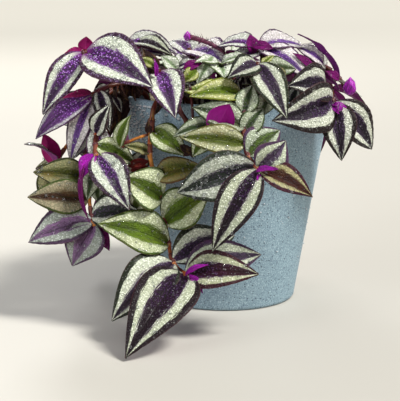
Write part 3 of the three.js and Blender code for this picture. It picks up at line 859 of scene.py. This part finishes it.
def blade_shape(base, chord, width, face, draw, taper=LEAF_TAPER):
    """The leaf's surface as a function of s, from -1 to 1 across it, and t, from its base to 1."""
    up, side = leaf_axes(chord, face)
    length = chord.length
    swell = draw.uniform(0.05, 0.1)
    waves = draw.uniform(1.2, 2.4)
    phase = draw.uniform(0, 1)
    wave = draw.uniform(0.2, 0.55) * MM
    lean = draw.uniform(-0.05, 0.05)
    ripples = width / MM * draw.uniform(0.25, 0.4)
    ripple = draw.uniform(0.1, 0.3) * MM

    def point(s, t):
        reach = width / 2 * outline(t, taper) * (1 + lean * math.copysign(1, s))
        fold = BASE_FOLD + (TIP_FOLD - BASE_FOLD) * t
        keel = math.sqrt(s * s + 0.002) - 0.045
        high = arch_height(length, t) + keel * reach * math.sin(fold)
        high += swell * reach * (1 - (2 * abs(s) - 1) ** 2)
        turn = 2 * math.pi * (waves * t + phase) + (1.9 if s < 0 else 0)
        high += wave * s * s * math.sin(turn) * min(1, 6 * t)
        high += ripple * s**6 * math.sin(2 * math.pi * ripples * t + turn)
        return base + chord * t + side * (s * reach * math.cos(fold)) + up * high

    return point


def add_blade(bm, point, tone, seed, across=BLADE_GRID[0], along=BLADE_GRID[1]):
    """One leaf as a sheet, with its UV map and colouring. The sheet gets its thickness later."""
    *tints, heart_share, margin_share, violet, age = TONES[tone]
    draw = random.Random(seed)
    values = {}
    for name, colour in zip(("margin", "band", "heart", "under"), tints):
        light = draw.uniform(0.93, 1.07)
        values[name] = paint(*[min(255, channel * light) for channel in colour])
    heart_share *= draw.uniform(0.9, 1.12)
    margin_share *= draw.uniform(0.9, 1.15)
    values["traits"] = (heart_share, margin_share, violet, age)
    uv = bm.loops.layers.uv.verify()
    colours = bm.verts.layers.float_color
    if "seed" not in bm.verts.layers.float:
        bm.verts.layers.float.new("seed")
        for name in values:
            colours.new(name)
    layers = {name: colours[name] for name in values}
    seeds = bm.verts.layers.float["seed"]
    number = draw.uniform(0, 100)

    def along_leaf(vert):
        """From 0 at the base to 1 at the tip, with close rows at both."""
        return (1 - math.cos(math.pi * (vert.co.y + 1) / 2)) / 2

    grid = bmesh.ops.create_grid(bm, x_segments=across, y_segments=along, size=1)
    for face in {face for vert in grid["verts"] for face in vert.link_faces}:
        for loop in face.loops:
            loop[uv].uv = ((loop.vert.co.x + 1) / 2, along_leaf(loop.vert))
    for vert in grid["verts"]:
        vert.co = point(vert.co.x, along_leaf(vert))
        vert[seeds] = number
        for name, layer in layers.items():
            vert[layer] = values[name]


def attribute(material, name, output="Color"):
    """What a leaf carries for itself."""
    return node("Attribute", output=output, tree=material.node_tree, attribute_name=name)


def leaf_spot(material):
    """Where a spot is on its leaf: across it, along it and out from the midrib. And its seed."""
    u, v = wrap_of(material)
    return u, v, calc("ABSOLUTE", u * 2 - 1), attribute(material, "seed", "Fac")


def leaf_top_finish():
    material = finish("leaf_top")
    place = place_on(material)
    u, v, across, seed = leaf_spot(material)
    traits = attribute(material, "traits")
    heart_share, margin_share, violet = channels(traits)
    age = traits.part("Alpha")
    margin, band, heart = [attribute(material, name) for name in ("margin", "band", "heart")]

    def streaks(across_scale, along_scale, detail):
        spot = node("CombineXYZ", {0: u * across_scale, 1: v * along_scale, 2: seed})
        return clouds(spot, 1, detail, Roughness=0.65)

    # The skin: streaks along the leaf, its cells, the pearly domes on them and tiny drops.
    coarse = streaks(7, 3, 4)
    fine = streaks(60, 10, 3)
    rag = (coarse - 0.5) * 0.3 + (fine - 0.5) * 0.5
    cell = channels(node("TexVoronoi", {"Vector": place, "Scale": 1500}, "Color"))[0]
    from_middle, draws = cells(place, 800)
    dome = rise(from_middle, 0.62, 0.08)
    lit = draws[0]
    from_middle, draws = cells(place, 400)
    drop = rise(draws[1], 0.66, 0.72) * rise(from_middle, 0.3, 0.05)

    # Where the dark middle ends and the margin begins, both ragged.
    heart_edge = heart_share * (v * -0.15 + 1.08) + rag
    in_heart = rise(heart_edge - across, age * -0.5 - 0.025, age * 0.4 + 0.035)
    near_tip = calc("POWER", v, 5) * 0.9 + 0.95
    margin_edge = rag * 0.6 + margin_share * near_tip * -1 + 1
    in_margin = rise(across - margin_edge, -0.02, 0.035)

    # The silver band, with fine dark veins and its own speckle. It is painted grey-green between the
    # domes, as shade, and near-white on them, as highlights on beads of water.
    shade = dome * (lit * 0.65 + 0.4) + cell * 0.22 + fine * 0.45
    silver = mix(rise(shade, 0.2, 0.72), mix(0.56, band, paint(92, 102, 74)), band)
    shiny = rise(channels(band)[1], 0.3, 0.6)
    silver = mix(rise(shade, 0.66, 1.1) * shiny * 0.5, silver, paint(248, 252, 244))
    veins = calc("SINE", u * 150)
    silver = mix(rise(veins, 0.55, 1) * 0.16, silver, heart)

    # The middle, with its own dark streaks. Towards the base it carries painted highlights, violet
    # and lavender-white glints on the domes, and faint pale glints all over.
    streak = fine * 0.5 + coarse * 0.5
    dark = mix(rise(streak, 0.4, 0.62), mix(0.6, heart, (0.006, 0.005, 0.007, 1)), heart)
    basal = rise(v, 0.72, 0.3) * violet
    dark = mix(rise(shade, 0.3, 0.75) * basal * 0.9, dark, paint(134, 42, 172))
    dark = mix(rise(shade, 0.7, 1.05) * basal * 0.9, dark, paint(206, 170, 234))
    dark = mix(rise(shade, 0.85, 1.15) * 0.05, dark, paint(170, 158, 176))

    # The margin, dark and mottled, with painted highlights: pale and violet dots on the domes.
    edge = mix(rise(coarse, 0.35, 0.7), mix(0.5, margin, (0.008, 0.006, 0.008, 1)), margin)
    edge = mix(rise(shade, 0.8, 1.2) * 0.12, edge, band)
    edge = mix(rise(shade, 0.5, 0.9) * violet * 0.4, edge, paint(146, 112, 172))

    # All together, then the violet fringe and base, worn patches, rim and midrib, and the drops,
    # painted paler as highlights.
    fringe = rise(calc("ABSOLUTE", across - heart_edge), 0.1, 0) * calc("POWER", violet, 0.5)
    colour = mix(fringe * 0.6, mix(in_heart, silver, dark), paint(98, 52, 120))
    colour = mix(in_margin, colour, edge)
    colour = mix(rise(v, 0.16, 0.02) * violet * 0.8, colour, paint(118, 34, 122))
    worn = rise(streaks(2.2, 1.8, 3), 0.5, 0.68) * age
    colour = mix(worn * 0.7, colour, paint(140, 106, 58))
    colour = mix(rise(across, 0.955, 0.985) * 0.3, colour, mix(0.5, margin, paint(150, 96, 104)))
    rib = rise(across, 0.035, 0.01)
    colour = mix(rib * 0.5, colour, mix(0.5, margin, (0.01, 0.01, 0.006, 1)))
    colour = mix(drop * 0.22, colour, paint(236, 240, 238))

    height = veins * 0.12 + cell * 0.2 + fine * 0.5 + dome * 1.1 + drop * 1.6 + rib * -1.2
    return surface(material, Base_Color=colour, Normal=bumps(height, 0.4 * MM, 0.9),
                   Roughness=dome * -0.16 + drop * -0.3 + 0.5, Specular_IOR_Level=0.18, Coat_Weight=0.04,
                   Coat_Roughness=0.2)


def leaf_underside_finish():
    material = finish("leaf_underside")
    u, v, across, seed = leaf_spot(material)
    under = attribute(material, "under")
    cloud = clouds(node("CombineXYZ", {0: u * 12, 1: v * 5, 2: seed}), 1, 5)
    colour = mix(cloud, mix(0.45, under, (0.05, 0.002, 0.03, 1)), mix(0.03, under, paint(214, 120, 206)))
    veins = calc("SINE", u * 110)
    colour = mix(rise(veins, 0.6, 1) * 0.07, colour, paint(196, 96, 184))
    colour = mix(rise(across, 0.05, 0.01) * 0.05, colour, paint(214, 140, 200))
    relief = bumps(veins * 0.4 + cloud, 0.2 * MM, 0.6)
    return surface(material, Base_Color=colour, Normal=relief, Roughness=0.42, Specular_IOR_Level=0.12)


def add_leaves(name, bm):
    """A piece of the leaves in a bmesh, each now a closed body."""
    leaves = add_piece(name, bm, leaf_finishes, "leaf")
    thickness = leaves.modifiers.new("thickness", "SOLIDIFY")
    thickness.thickness = BLADE_THICKNESS
    thickness.offset = 0
    thickness.material_offset = 1
    thickness.material_offset_rim = 0
    return leaves


# Drops of water: clear beads of all sizes that sit flattened on the leaves' upper faces, thickest
# on the leaves at the front. They hold to the skin by themselves.
DROP_SQUASH = 0.62
DROP_SINK = 0.22
DRY_AREA = 34 * MM * MM
SEEN_WETNESS = 1
UNSEEN_WETNESS = 0.4
WET_LEAVES = {("front_low_shoot", 5): 1.3, ("front_right_shoot", 1): 2, ("left_front_shoot", 0): 2,
              ("left_crown_shoot", 0): 1.6, ("left_crown_shoot", 1): 1.6}


def water_finish(name, clearness, pale, shade):
    """Water that is this clear. The rest is pale, a painted highlight, with painted blue-grey shade below.
    """
    material = finish(name)
    colour = mix(clouds(place_on(material), 300), paint(*pale), paint(255, 255, 255))
    facing = node("TexCoord", output="Normal", tree=material.node_tree)
    below = rise(node("SeparateXYZ", {0: facing}, 2), 0, -0.5)
    colour = mix(below * shade, colour, paint(74, 102, 120))
    return surface(material, Base_Color=colour, Roughness=0.03, IOR=1.33, Transmission_Weight=clearness)


bm = bmesh.new()
bmesh.ops.create_icosphere(bm, subdivisions=2, radius=1)
bead = template("bead", bm)


def add_drop(bm, spot, normal, radius):
    """A bead of water that sits on a surface."""
    centre = spot + normal * (DROP_SQUASH - DROP_SINK) * radius
    set_in(bm, bead, centre, normal, radius, DROP_SQUASH * radius)


def sprinkle(bm, point, wetness, area, draw):
    """Beads on a leaf's upper face, more and larger ones on a wetter leaf."""
    for _ in range(round(wetness * area / DRY_AREA)):
        s = draw.uniform(-0.88, 0.88)
        t = draw.uniform(0.08, 0.92)
        spot = point(s, t)
        normal = (point(s + 0.02, t) - spot).cross(point(s, t + 0.01) - spot).normalized()
        radius = (0.28 + (0.4 + 0.3 * wetness) * draw.random() ** (2.6 / max(wetness, 1))) * MM
        add_drop(bm, spot + normal * (BLADE_THICKNESS / 2), normal, radius)


# Putting the shoots together: each stem with its sheaths, its leaves and the drops on them, round
# the shoot's own node in the frame. Stem and leaves grew as one.
stem_skin = stem_finish("stem_skin", (150, 60, 26), (212, 132, 56), (226, 180, 92))
old_skin = stem_finish("old_stem_skin", (34, 10, 8), (78, 30, 16), (128, 70, 40))
sheath_skin = sheath_finish()
pale_hairs = hair_finish()
stem_finishes = [stem_skin, sheath_skin, pale_hairs]
leaf_finishes = [leaf_top_finish(), leaf_underside_finish()]
water = water_finish("water", 0.93, (246, 250, 252), 0.0)


def metres(points):
    return [Vector(point) * MM for point in points]


shoots = list(SHOOTS)
shoots += [trailing_shoot(*row, number) for number, row in enumerate(TRAILING)]
shoots += [upright_shoot(*row, number) for number, row in enumerate(UPRIGHT)]
for order, (name, shoot_face, knee_row, leaf_row) in enumerate(shoots):
    wetness = SEEN_WETNESS if order < len(SHOOTS) else UNSEEN_WETNESS
    knees = metres(knee_row)
    skin = skin_of(name)
    blades = bmesh.new()
    drops = bmesh.new()
    nodes = []
    for number, (place, tip, width, tone, *own_face) in enumerate(leaf_row):
        face = Vector(own_face[0] if own_face else shoot_face)
        place = min(place, len(knees) - 1 - BASE_SINK)
        base = stem_point(knees, place)
        chord = grown_chord(base, Vector(tip) * MM, face, skin)
        if chord is None:
            continue
        nodes.append(place)
        if (name, number) in UNFOLDING:
            continue
        if (name, number) in SETTLED:
            face, shift = [Vector(row) for row in SETTLED[name, number]]
            chord += shift * MM
        draw = random.Random(f"{name} leaf {number}")
        point = blade_shape(base, chord, width * MM, face, draw)
        add_blade(blades, point, tone, f"{name} tone {number}")
        sprinkle(drops, point, WET_LEAVES.get((name, number), wetness), width * MM * chord.length, draw)
    leaves = add_leaves(name.replace("_shoot", "_leaves"), blades)
    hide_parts(name)
    add_stem(name, knees, sorted(nodes), stem_finishes)
    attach(add_piece(name.replace("_shoot", "_drops"), drops, [water]), "root")


# Young leaves: small, narrow or rolled ones that unfold at the nodes, among them the pointed
# magenta one in front of the pot, and a few that have dried there. Each grows from its stem.
# Below, in millimetres: base, tip, width, colouring, the way it faces and, if unusual, its taper.
YOUNG_LEAVES = [
    ((-9, -84, 112.5), (0.3, -87, 131.8), 17, "magenta", (0, 1, 0.1), 0.85),
    ((-62, -64, 104), (-55.5, -66, 122.5), 11, "green", (-0.5, -0.8, 0.4)),
    ((-67, -38, 129), (-62, -44, 120.5), 7, "brown", (0.3, -0.8, 0.4)),
    ((-69, -38, 128.5), (-72, -46, 113), 7, "brown", (-0.3, -0.8, 0.4)),
    ((-24, -95, 35.5), (-11.5, -104, 44), 4.5, "orchid", (-0.3, -0.6, 0.7)),
    ((-22, -96, 36), (-14.5, -103, 27.5), 5, "orchid", (0.5, -0.8, 0.2)),
    ((-16, -58, 50), (-26, -60, 58), 8, "magenta", (0, -0.9, 0.3)),
    ((61.5, -39, 124), (69.5, -47, 124), 5, "orchid", (0, -0.5, 0.8)),
    ((62.5, -40, 125.5), (65, -47, 120.5), 4.5, "orchid", (-0.4, -0.8, 0.3)),
    ((74, -28, 130.5), (66, -27, 138), 5, "maroon", (0.4, -0.6, 0.7)),
    ((50.4, -34, 145), (38.6, -33, 154.5), 5.5, "magenta", (0.3, -0.8, 0.5)),
    ((65.7, -33, 138.5), (58, -34, 144), 6, "magenta", (0.3, -0.8, 0.5)),
    ((58, -14, 146), (40, -18, 157), 12, "pink", (0, -0.7, 0.7)),
    ((-27.4, -68, 105.5), (-18.5, -68, 98.5), 5, "dried", (0.2, -1, 0.2)),
    ((-17.7, -68, 104), (-25.7, -68, 99), 5, "dried", (-0.2, -1, 0.2)),
    ((-45.5, -64, 95.5), (-58, -63, 92.5), 6, "ember", (0, -1, 0.3), 0.9),
    ((-46, -64.5, 93), (-56, -63.5, 90), 5, "ember", (0, -1, -0.3), 1.1),
    ((20, -55, 149), (26.5, -52, 155), 6, "lime", (-0.5, -0.7, 0.4)),
    ((33, -52, 141.5), (24, -56, 149.5), 7, "olive", (0.3, -0.7, 0.5)),
    ((-70, -42, 136), (-79, -48, 129), 9, "brown", (0.2, -0.9, 0.4)),
    ((-52.5, -18, 152.5), (-36.5, -22, 152), 10, "violet", (0, -0.6, 0.8)),
    ((-8.5, -38, 153), (-18, -50, 138), 13, "mint", (0.2, -0.7, 0.7)),
    ((-29, -38, 146), (-16, -44, 150), 8, "violet", (0, -0.7, 0.7)),
    ((-25.5, -50, 147), (-14.5, -46, 150.5), 6.5, "magenta", (-0.2, -0.9, 0.4)),
    ((-79, -50, 133.5), (-95, -57, 131), 5, "crimson", (0.1, -0.8, 0.5)),
    ((15.5, -27, 153.5), (13.3, -28, 165), 9, "magenta", (0.3, -0.9, 0.3), 0.9),
    ((14.5, -29, 158), (27, -31, 157), 7, "magenta", (0, -0.8, 0.6), 0.9),
    ((-77, -61, 92), (-81.3, -64, 72.5), 12, "silver", (0, -0.9, 0.3)),
    ((-78.8, -54, 88.8), (-75.3, -57, 69.5), 13, "silver", (0.2, -0.9, 0.3)),
    ((-43.8, -56, 81.3), (-56, -59, 64.5), 20, "green", (0, -0.9, 0.3)),
    ((22.9, -62, 135.2), (18.2, -66, 121.4), 13, "silver", (0.2, -0.9, 0.3)),
    ((-17.7, -50, 145.9), (-25.8, -53, 139.3), 10, "lime", (0, -0.8, 0.6)),
    ((-29.4, -42, 145.6), (-38.8, -40, 153.5), 10, "mint", (0, -0.8, 0.6)),
    ((-75.9, -67, 99.8), (-84, -72, 86), 11, "orchid", (-0.5, -0.8, 0.2)),
    ((-82.2, -70.5, 95), (-79.6, -73, 62), 4.6, "magenta", (-0.7, -0.7, 0.1)),
    ((15.5, -91, 94.6), (27.5, -95, 96.3), 4.2, "orchid", (0, -0.7, 0.7)),
    ((16.6, -92, 93.1), (17.1, -95, 86.5), 3.6, "orchid", (0.3, -1, 0.1)),
    ((-46.3, -65, 112), (-45.4, -66.5, 120.5), 3.2, "dried", (0, -1, 0)),
    ((-48, -50, 97.5), (-57, -52, 84), 13, "slate", (0, -1, 0.2)),
    ((-44.8, -50, 143.5), (-49, -48, 158.5), 14, "dried", (0.2, -1, 0.3)),
    ((-42.5, -54, 149.3), (-50.5, -54, 154), 6, "lime", (0, -1, 0.3)),
    ((-41.5, -55, 143.5), (-42.5, -54.5, 153.5), 3.2, "orchid", (0.6, -0.8, 0.2)),
    # These four dark dried leaves also stand in for the shade deep in the crown on the left.
    ((-69, -18, 130), (-70, -22, 103), 13, "dried", (0, -1, 0.2)),
    ((-62, -22, 132), (-65, -26, 108), 11, "dried", (0.2, -1, 0.2)),
    ((-76, -24, 128), (-77, -28, 100), 12, "dried", (-0.2, -1, 0.2)),
    ((-78, -30, 112), (-76, -34, 88), 12, "dried", (0.1, -1, 0.2)),
]
YOUNG_GRID = (12, 20)

young = bmesh.new()
for number, (base, tip, width, tone, face, *taper) in enumerate(YOUNG_LEAVES):
    base = Vector(base) * MM
    draw = random.Random(f"young leaf {number}")
    point = blade_shape(base, Vector(tip) * MM - base, width * MM, Vector(face), draw, *taper)
    add_blade(young, point, tone, f"young tone {number}", *YOUNG_GRID)
add_leaves("young_leaves", young)


# Twig and bare stems: a thin side twig with two of the young leaves, and two old stems that have
# lost theirs and bend over the rim. Below, in millimetres: knees, radius and skin.
TWIGS = [
    ("side_twig", [(-43, -60, 111.5), (-48, -62, 110), (-54, -63, 108), (-62, -64, 104)], 0.85, stem_skin),
    ("bare_stem", [(-34, -44, 140), (-33, -54, 138), (-30.5, -62, 132), (-27.5, -66, 125),
                   (-23.5, -66, 118), (-24, -64, 108)], 1.5, old_skin),
    ("thin_stem", [(-22, -46, 138), (-21.5, -58, 136), (-20.5, -66, 128), (-19.8, -66.5, 114),
                   (-20.5, -65, 98)], 0.8, old_skin),
]

for name, route, radius, skin in TWIGS:
    twig = bmesh.new()
    knees = metres(route)
    last = len(route) - 1
    add_tube(twig, [0.1 * i for i in range(10 * last + 1)], lambda place: stem_point(knees, place),
             lambda place: radius * MM * (1 + 0.2 * noise.noise((6 * place, radius, 0))))
    if skin == stem_skin:
        add_sheath(twig, knees, last - 0.1, random.Random("twig sheath"))
    add_piece(name, twig, [skin, sheath_skin, pale_hairs], "leaf")


# Buds: plump, magenta, wrapped in overlapping scales and set all over with short pale hairs. Each
# sits where young leaves unfold. Below, in millimetres: middle, radius, half height.
BUDS = [((73, -29.5, 134), 4, 4.7), ((-23.5, -15, 162.6), 2.3, 2.6), ((66, -45, 124), 1.8, 2.2)]
BUD_HAIRS = 110


def bud_finish(name, deep, bright):
    material = finish(name)
    place = place_on(material)
    streak = clouds(node("Mapping", {"Vector": place, "Scale": (1400, 1400, 220)}), 1, 4)
    colour = mix(rise(streak, 0.35, 0.65), paint(*deep), paint(*bright))
    glint = node("TexVoronoi", {"Vector": place, "Scale": 1100}, "Distance")
    lit = [min(255, 20 + 1.2 * channel) for channel in bright]
    colour = mix(rise(glint, 0.3, 0.1) * 0.7, colour, paint(*lit))
    return surface(material, Base_Color=colour, Normal=bumps(streak, 0.5 * MM, 0.8), Roughness=0.45)


bm = bmesh.new()
bmesh.ops.create_uvsphere(bm, u_segments=30, v_segments=20, radius=1)
for vert in bm.verts:
    x, y, z = vert.co
    turn = math.atan2(y, x)
    upper = max(0, z)
    girth = 0.9 + 0.13 * math.cos(3 * turn + 2.2 * z) + 0.06 * math.cos(7 * turn - 4 * z)
    girth *= 1 - 0.12 * upper**2
    vert.co = (x * girth, y * girth, z + 0.06 * upper**3 + 0.25 * upper**40)
bud = template("bud", bm)
buds = bmesh.new()
for number, (spot, radius, height) in enumerate(BUDS):
    spot = Vector(spot) * MM
    set_in(buds, bud, spot, UP, radius * MM, height * MM)
    draw = random.Random(f"bud hairs {number}")
    for _ in range(BUD_HAIRS):
        way = Vector((draw.gauss(0, 1), draw.gauss(0, 1), draw.gauss(0.5, 1))).normalized()
        root = spot + Vector((way.x * radius, way.y * radius, way.z * height)) * 0.9 * MM
        set_in(buds, hair, root, way, HAIR_RADIUS, draw.uniform(0.9, 1.7) * MM)
bud_skin = bud_finish("bud_skin", (112, 0, 122), (190, 16, 198))
add_piece("buds", buds, [bud_skin, sheath_skin, pale_hairs], "leaf")


# Hairy tip: the soft end of a shoot that lies over the crown, plum-coloured and thick with long
# hairs of its own colour. It grows wider towards its end.
HAIRY_TIP = metres([(0, -22, 150), (-3, -19, 154.6), (-12, -16.5, 159.4), (-22, -15, 162.4)])
HAIRY_RADIUS = 1.5 * MM
HAIRY_HAIRS = 110
LONG_HAIR_RADIUS = 3.5 * HAIR_RADIUS


def hairy_centre(place):
    return stem_point(HAIRY_TIP, place)


hairy = bmesh.new()
add_tube(hairy, [0.1 * i for i in range(31)], hairy_centre,
         lambda place: HAIRY_RADIUS * (0.55 + 0.17 * place))
draw = random.Random("hairy tip")
for _ in range(HAIRY_HAIRS):
    place = draw.uniform(0.2, 2.98)
    way = (hairy_centre(place + 0.01) - hairy_centre(place - 0.01)).normalized()
    around = Quaternion(way, draw.uniform(0, 2 * math.pi)) @ way.orthogonal().normalized()
    root = hairy_centre(place) + around * HAIRY_RADIUS * 0.8
    lean = (around + 0.7 * way).normalized()
    set_in(hairy, hair, root, lean, LONG_HAIR_RADIUS, draw.uniform(1.8, 4) * MM)
tip_skin = bud_finish("tip_skin", (66, 14, 40), (112, 34, 74))
add_piece("hairy_tip", hairy, [tip_skin, sheath_skin, tip_skin], "leaf")


# Inner leaves: small dark ones that stand low among the stems and fill the crown, as in any dense
# plant; dark as they are, they also stand in for the crown's shade. Below, in millimetres, a row
# from left to right: its y, half its width, then its leaves.
INNER_ROWS = [(4, 24, 9), (-22, 30, 9), (30, 20, 9)]
INNER_TONES = ["plum", "brown", "mossy", "umber", "slate", "violet"]
INNER_HEIGHT = 118
INNER_GRID = (12, 18)

inner = bmesh.new()
for row, (y, half_width, count) in enumerate(INNER_ROWS):
    for number in range(count):
        draw = random.Random(f"inner leaf {row} {number}")
        x = half_width * 2 * (number / (count - 1) - 0.5) * 1.6
        base = Vector((x * 0.8, y + draw.uniform(-4, 4), INNER_HEIGHT)) * MM
        way = Vector((draw.uniform(-9, 9), draw.uniform(-9, 0), draw.uniform(17, 23))) * MM
        face = Vector((draw.uniform(-0.5, 0.5), -1, draw.uniform(0.2, 0.7)))
        point = blade_shape(base, way, draw.uniform(11, 15) * MM, face, draw)
        add_blade(inner, point, draw.choice(INNER_TONES), f"inner tone {row} {number}", *INNER_GRID)
add_leaves("inner_leaves", inner)


# Dead leaves: withered leaves and sheaths, brown and narrow, that hang from the old stems on the
# left, and litter of the same kind that has dropped on the soil and lies loose there.
OLD_STEMS = ("left_rim_shoot", "left_front_shoot", "left_low_shoot", "front_low_shoot")
DRIED_EACH = 9
LITTER = 34
LITTER_LIFT = 1.2 * MM
DRIED_GRID = (8, 12)

dried = bmesh.new()
rows = {name: knee_row for name, _, knee_row, _ in SHOOTS}
for name in OLD_STEMS:
    knees = metres(rows[name])
    for number in range(DRIED_EACH):
        draw = random.Random(f"{name} dried {number}")
        base = stem_point(knees, draw.uniform(1.6, 4))
        way = Vector((draw.uniform(-5, 5), draw.uniform(-5, 2), -draw.uniform(6, 13))) * MM
        face = Vector((draw.uniform(-1, 1), -1, draw.uniform(-0.6, 0.6)))
        point = blade_shape(base, way, draw.uniform(3, 5.5) * MM, face, draw)
        add_blade(dried, point, "dried", f"{name} dried tone {number}", *DRIED_GRID)
for number in range(LITTER):
    draw = random.Random(f"litter {number}")
    reach = (soil_edge - 8 * MM) * math.sqrt(draw.random())
    base = outwards(draw.uniform(0, 360)) * reach + UP * (soil_height(reach) + LITTER_LIFT)
    way = outwards(draw.uniform(0, 360)) * draw.uniform(8, 16) * MM + UP * (draw.uniform(-0.5, 2.5) * MM)
    if (base + way).xy.length > soil_edge - 3 * MM:
        way = -way
    point = blade_shape(base, way, draw.uniform(4, 7) * MM, Vector((draw.uniform(-0.5, 0.5), 0, 1)), draw)
    add_blade(dried, point, "dried", f"litter tone {number}", *DRIED_GRID)
add_leaves("dried_leaves", dried)


# Drops on the pot: beads of water on its outside, thick in one wet patch at its upper left and few
# and small elsewhere. The two kinds differ in bearing, height and size, with their spreads.
POT_DROPS = 880
POT_DROPS_SEED = 11
WET_PATCH_DROPS = 450
WET_PATCH_BEARING = (-54, 10)
WET_PATCH_HEIGHT = (0.87, 0.08)
DRY_BEARING = (-25, 60)
DRY_FALL = (0, 0.42)

bm = bmesh.new()
draw = random.Random(POT_DROPS_SEED)
slope = math.atan((RIM_RADIUS - FOOT_RADIUS) / POT_HEIGHT)
for number in range(POT_DROPS):
    if number < WET_PATCH_DROPS:
        bearing = math.radians(draw.gauss(*WET_PATCH_BEARING))
        z = POT_HEIGHT * min(0.97, draw.gauss(*WET_PATCH_HEIGHT))
        largest = 1.0
    else:
        bearing = math.radians(draw.gauss(*DRY_BEARING))
        z = POT_HEIGHT * (1 - abs(draw.gauss(*DRY_FALL)))
        largest = 0.4
    if z < 4 * MM:
        continue
    radius = pot_wall_radius(z)
    spot = Vector((radius * math.sin(bearing), -radius * math.cos(bearing), z))
    normal = Vector((math.sin(bearing), -math.cos(bearing), -math.tan(slope))).normalized()
    add_drop(bm, spot, normal, (0.2 + largest * draw.random() ** 2) * MM)
drops = add_piece("pot_drops", bm, [water_finish("pot_water", 0.35, (220, 236, 244), 0.9)])
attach(drops, "root")
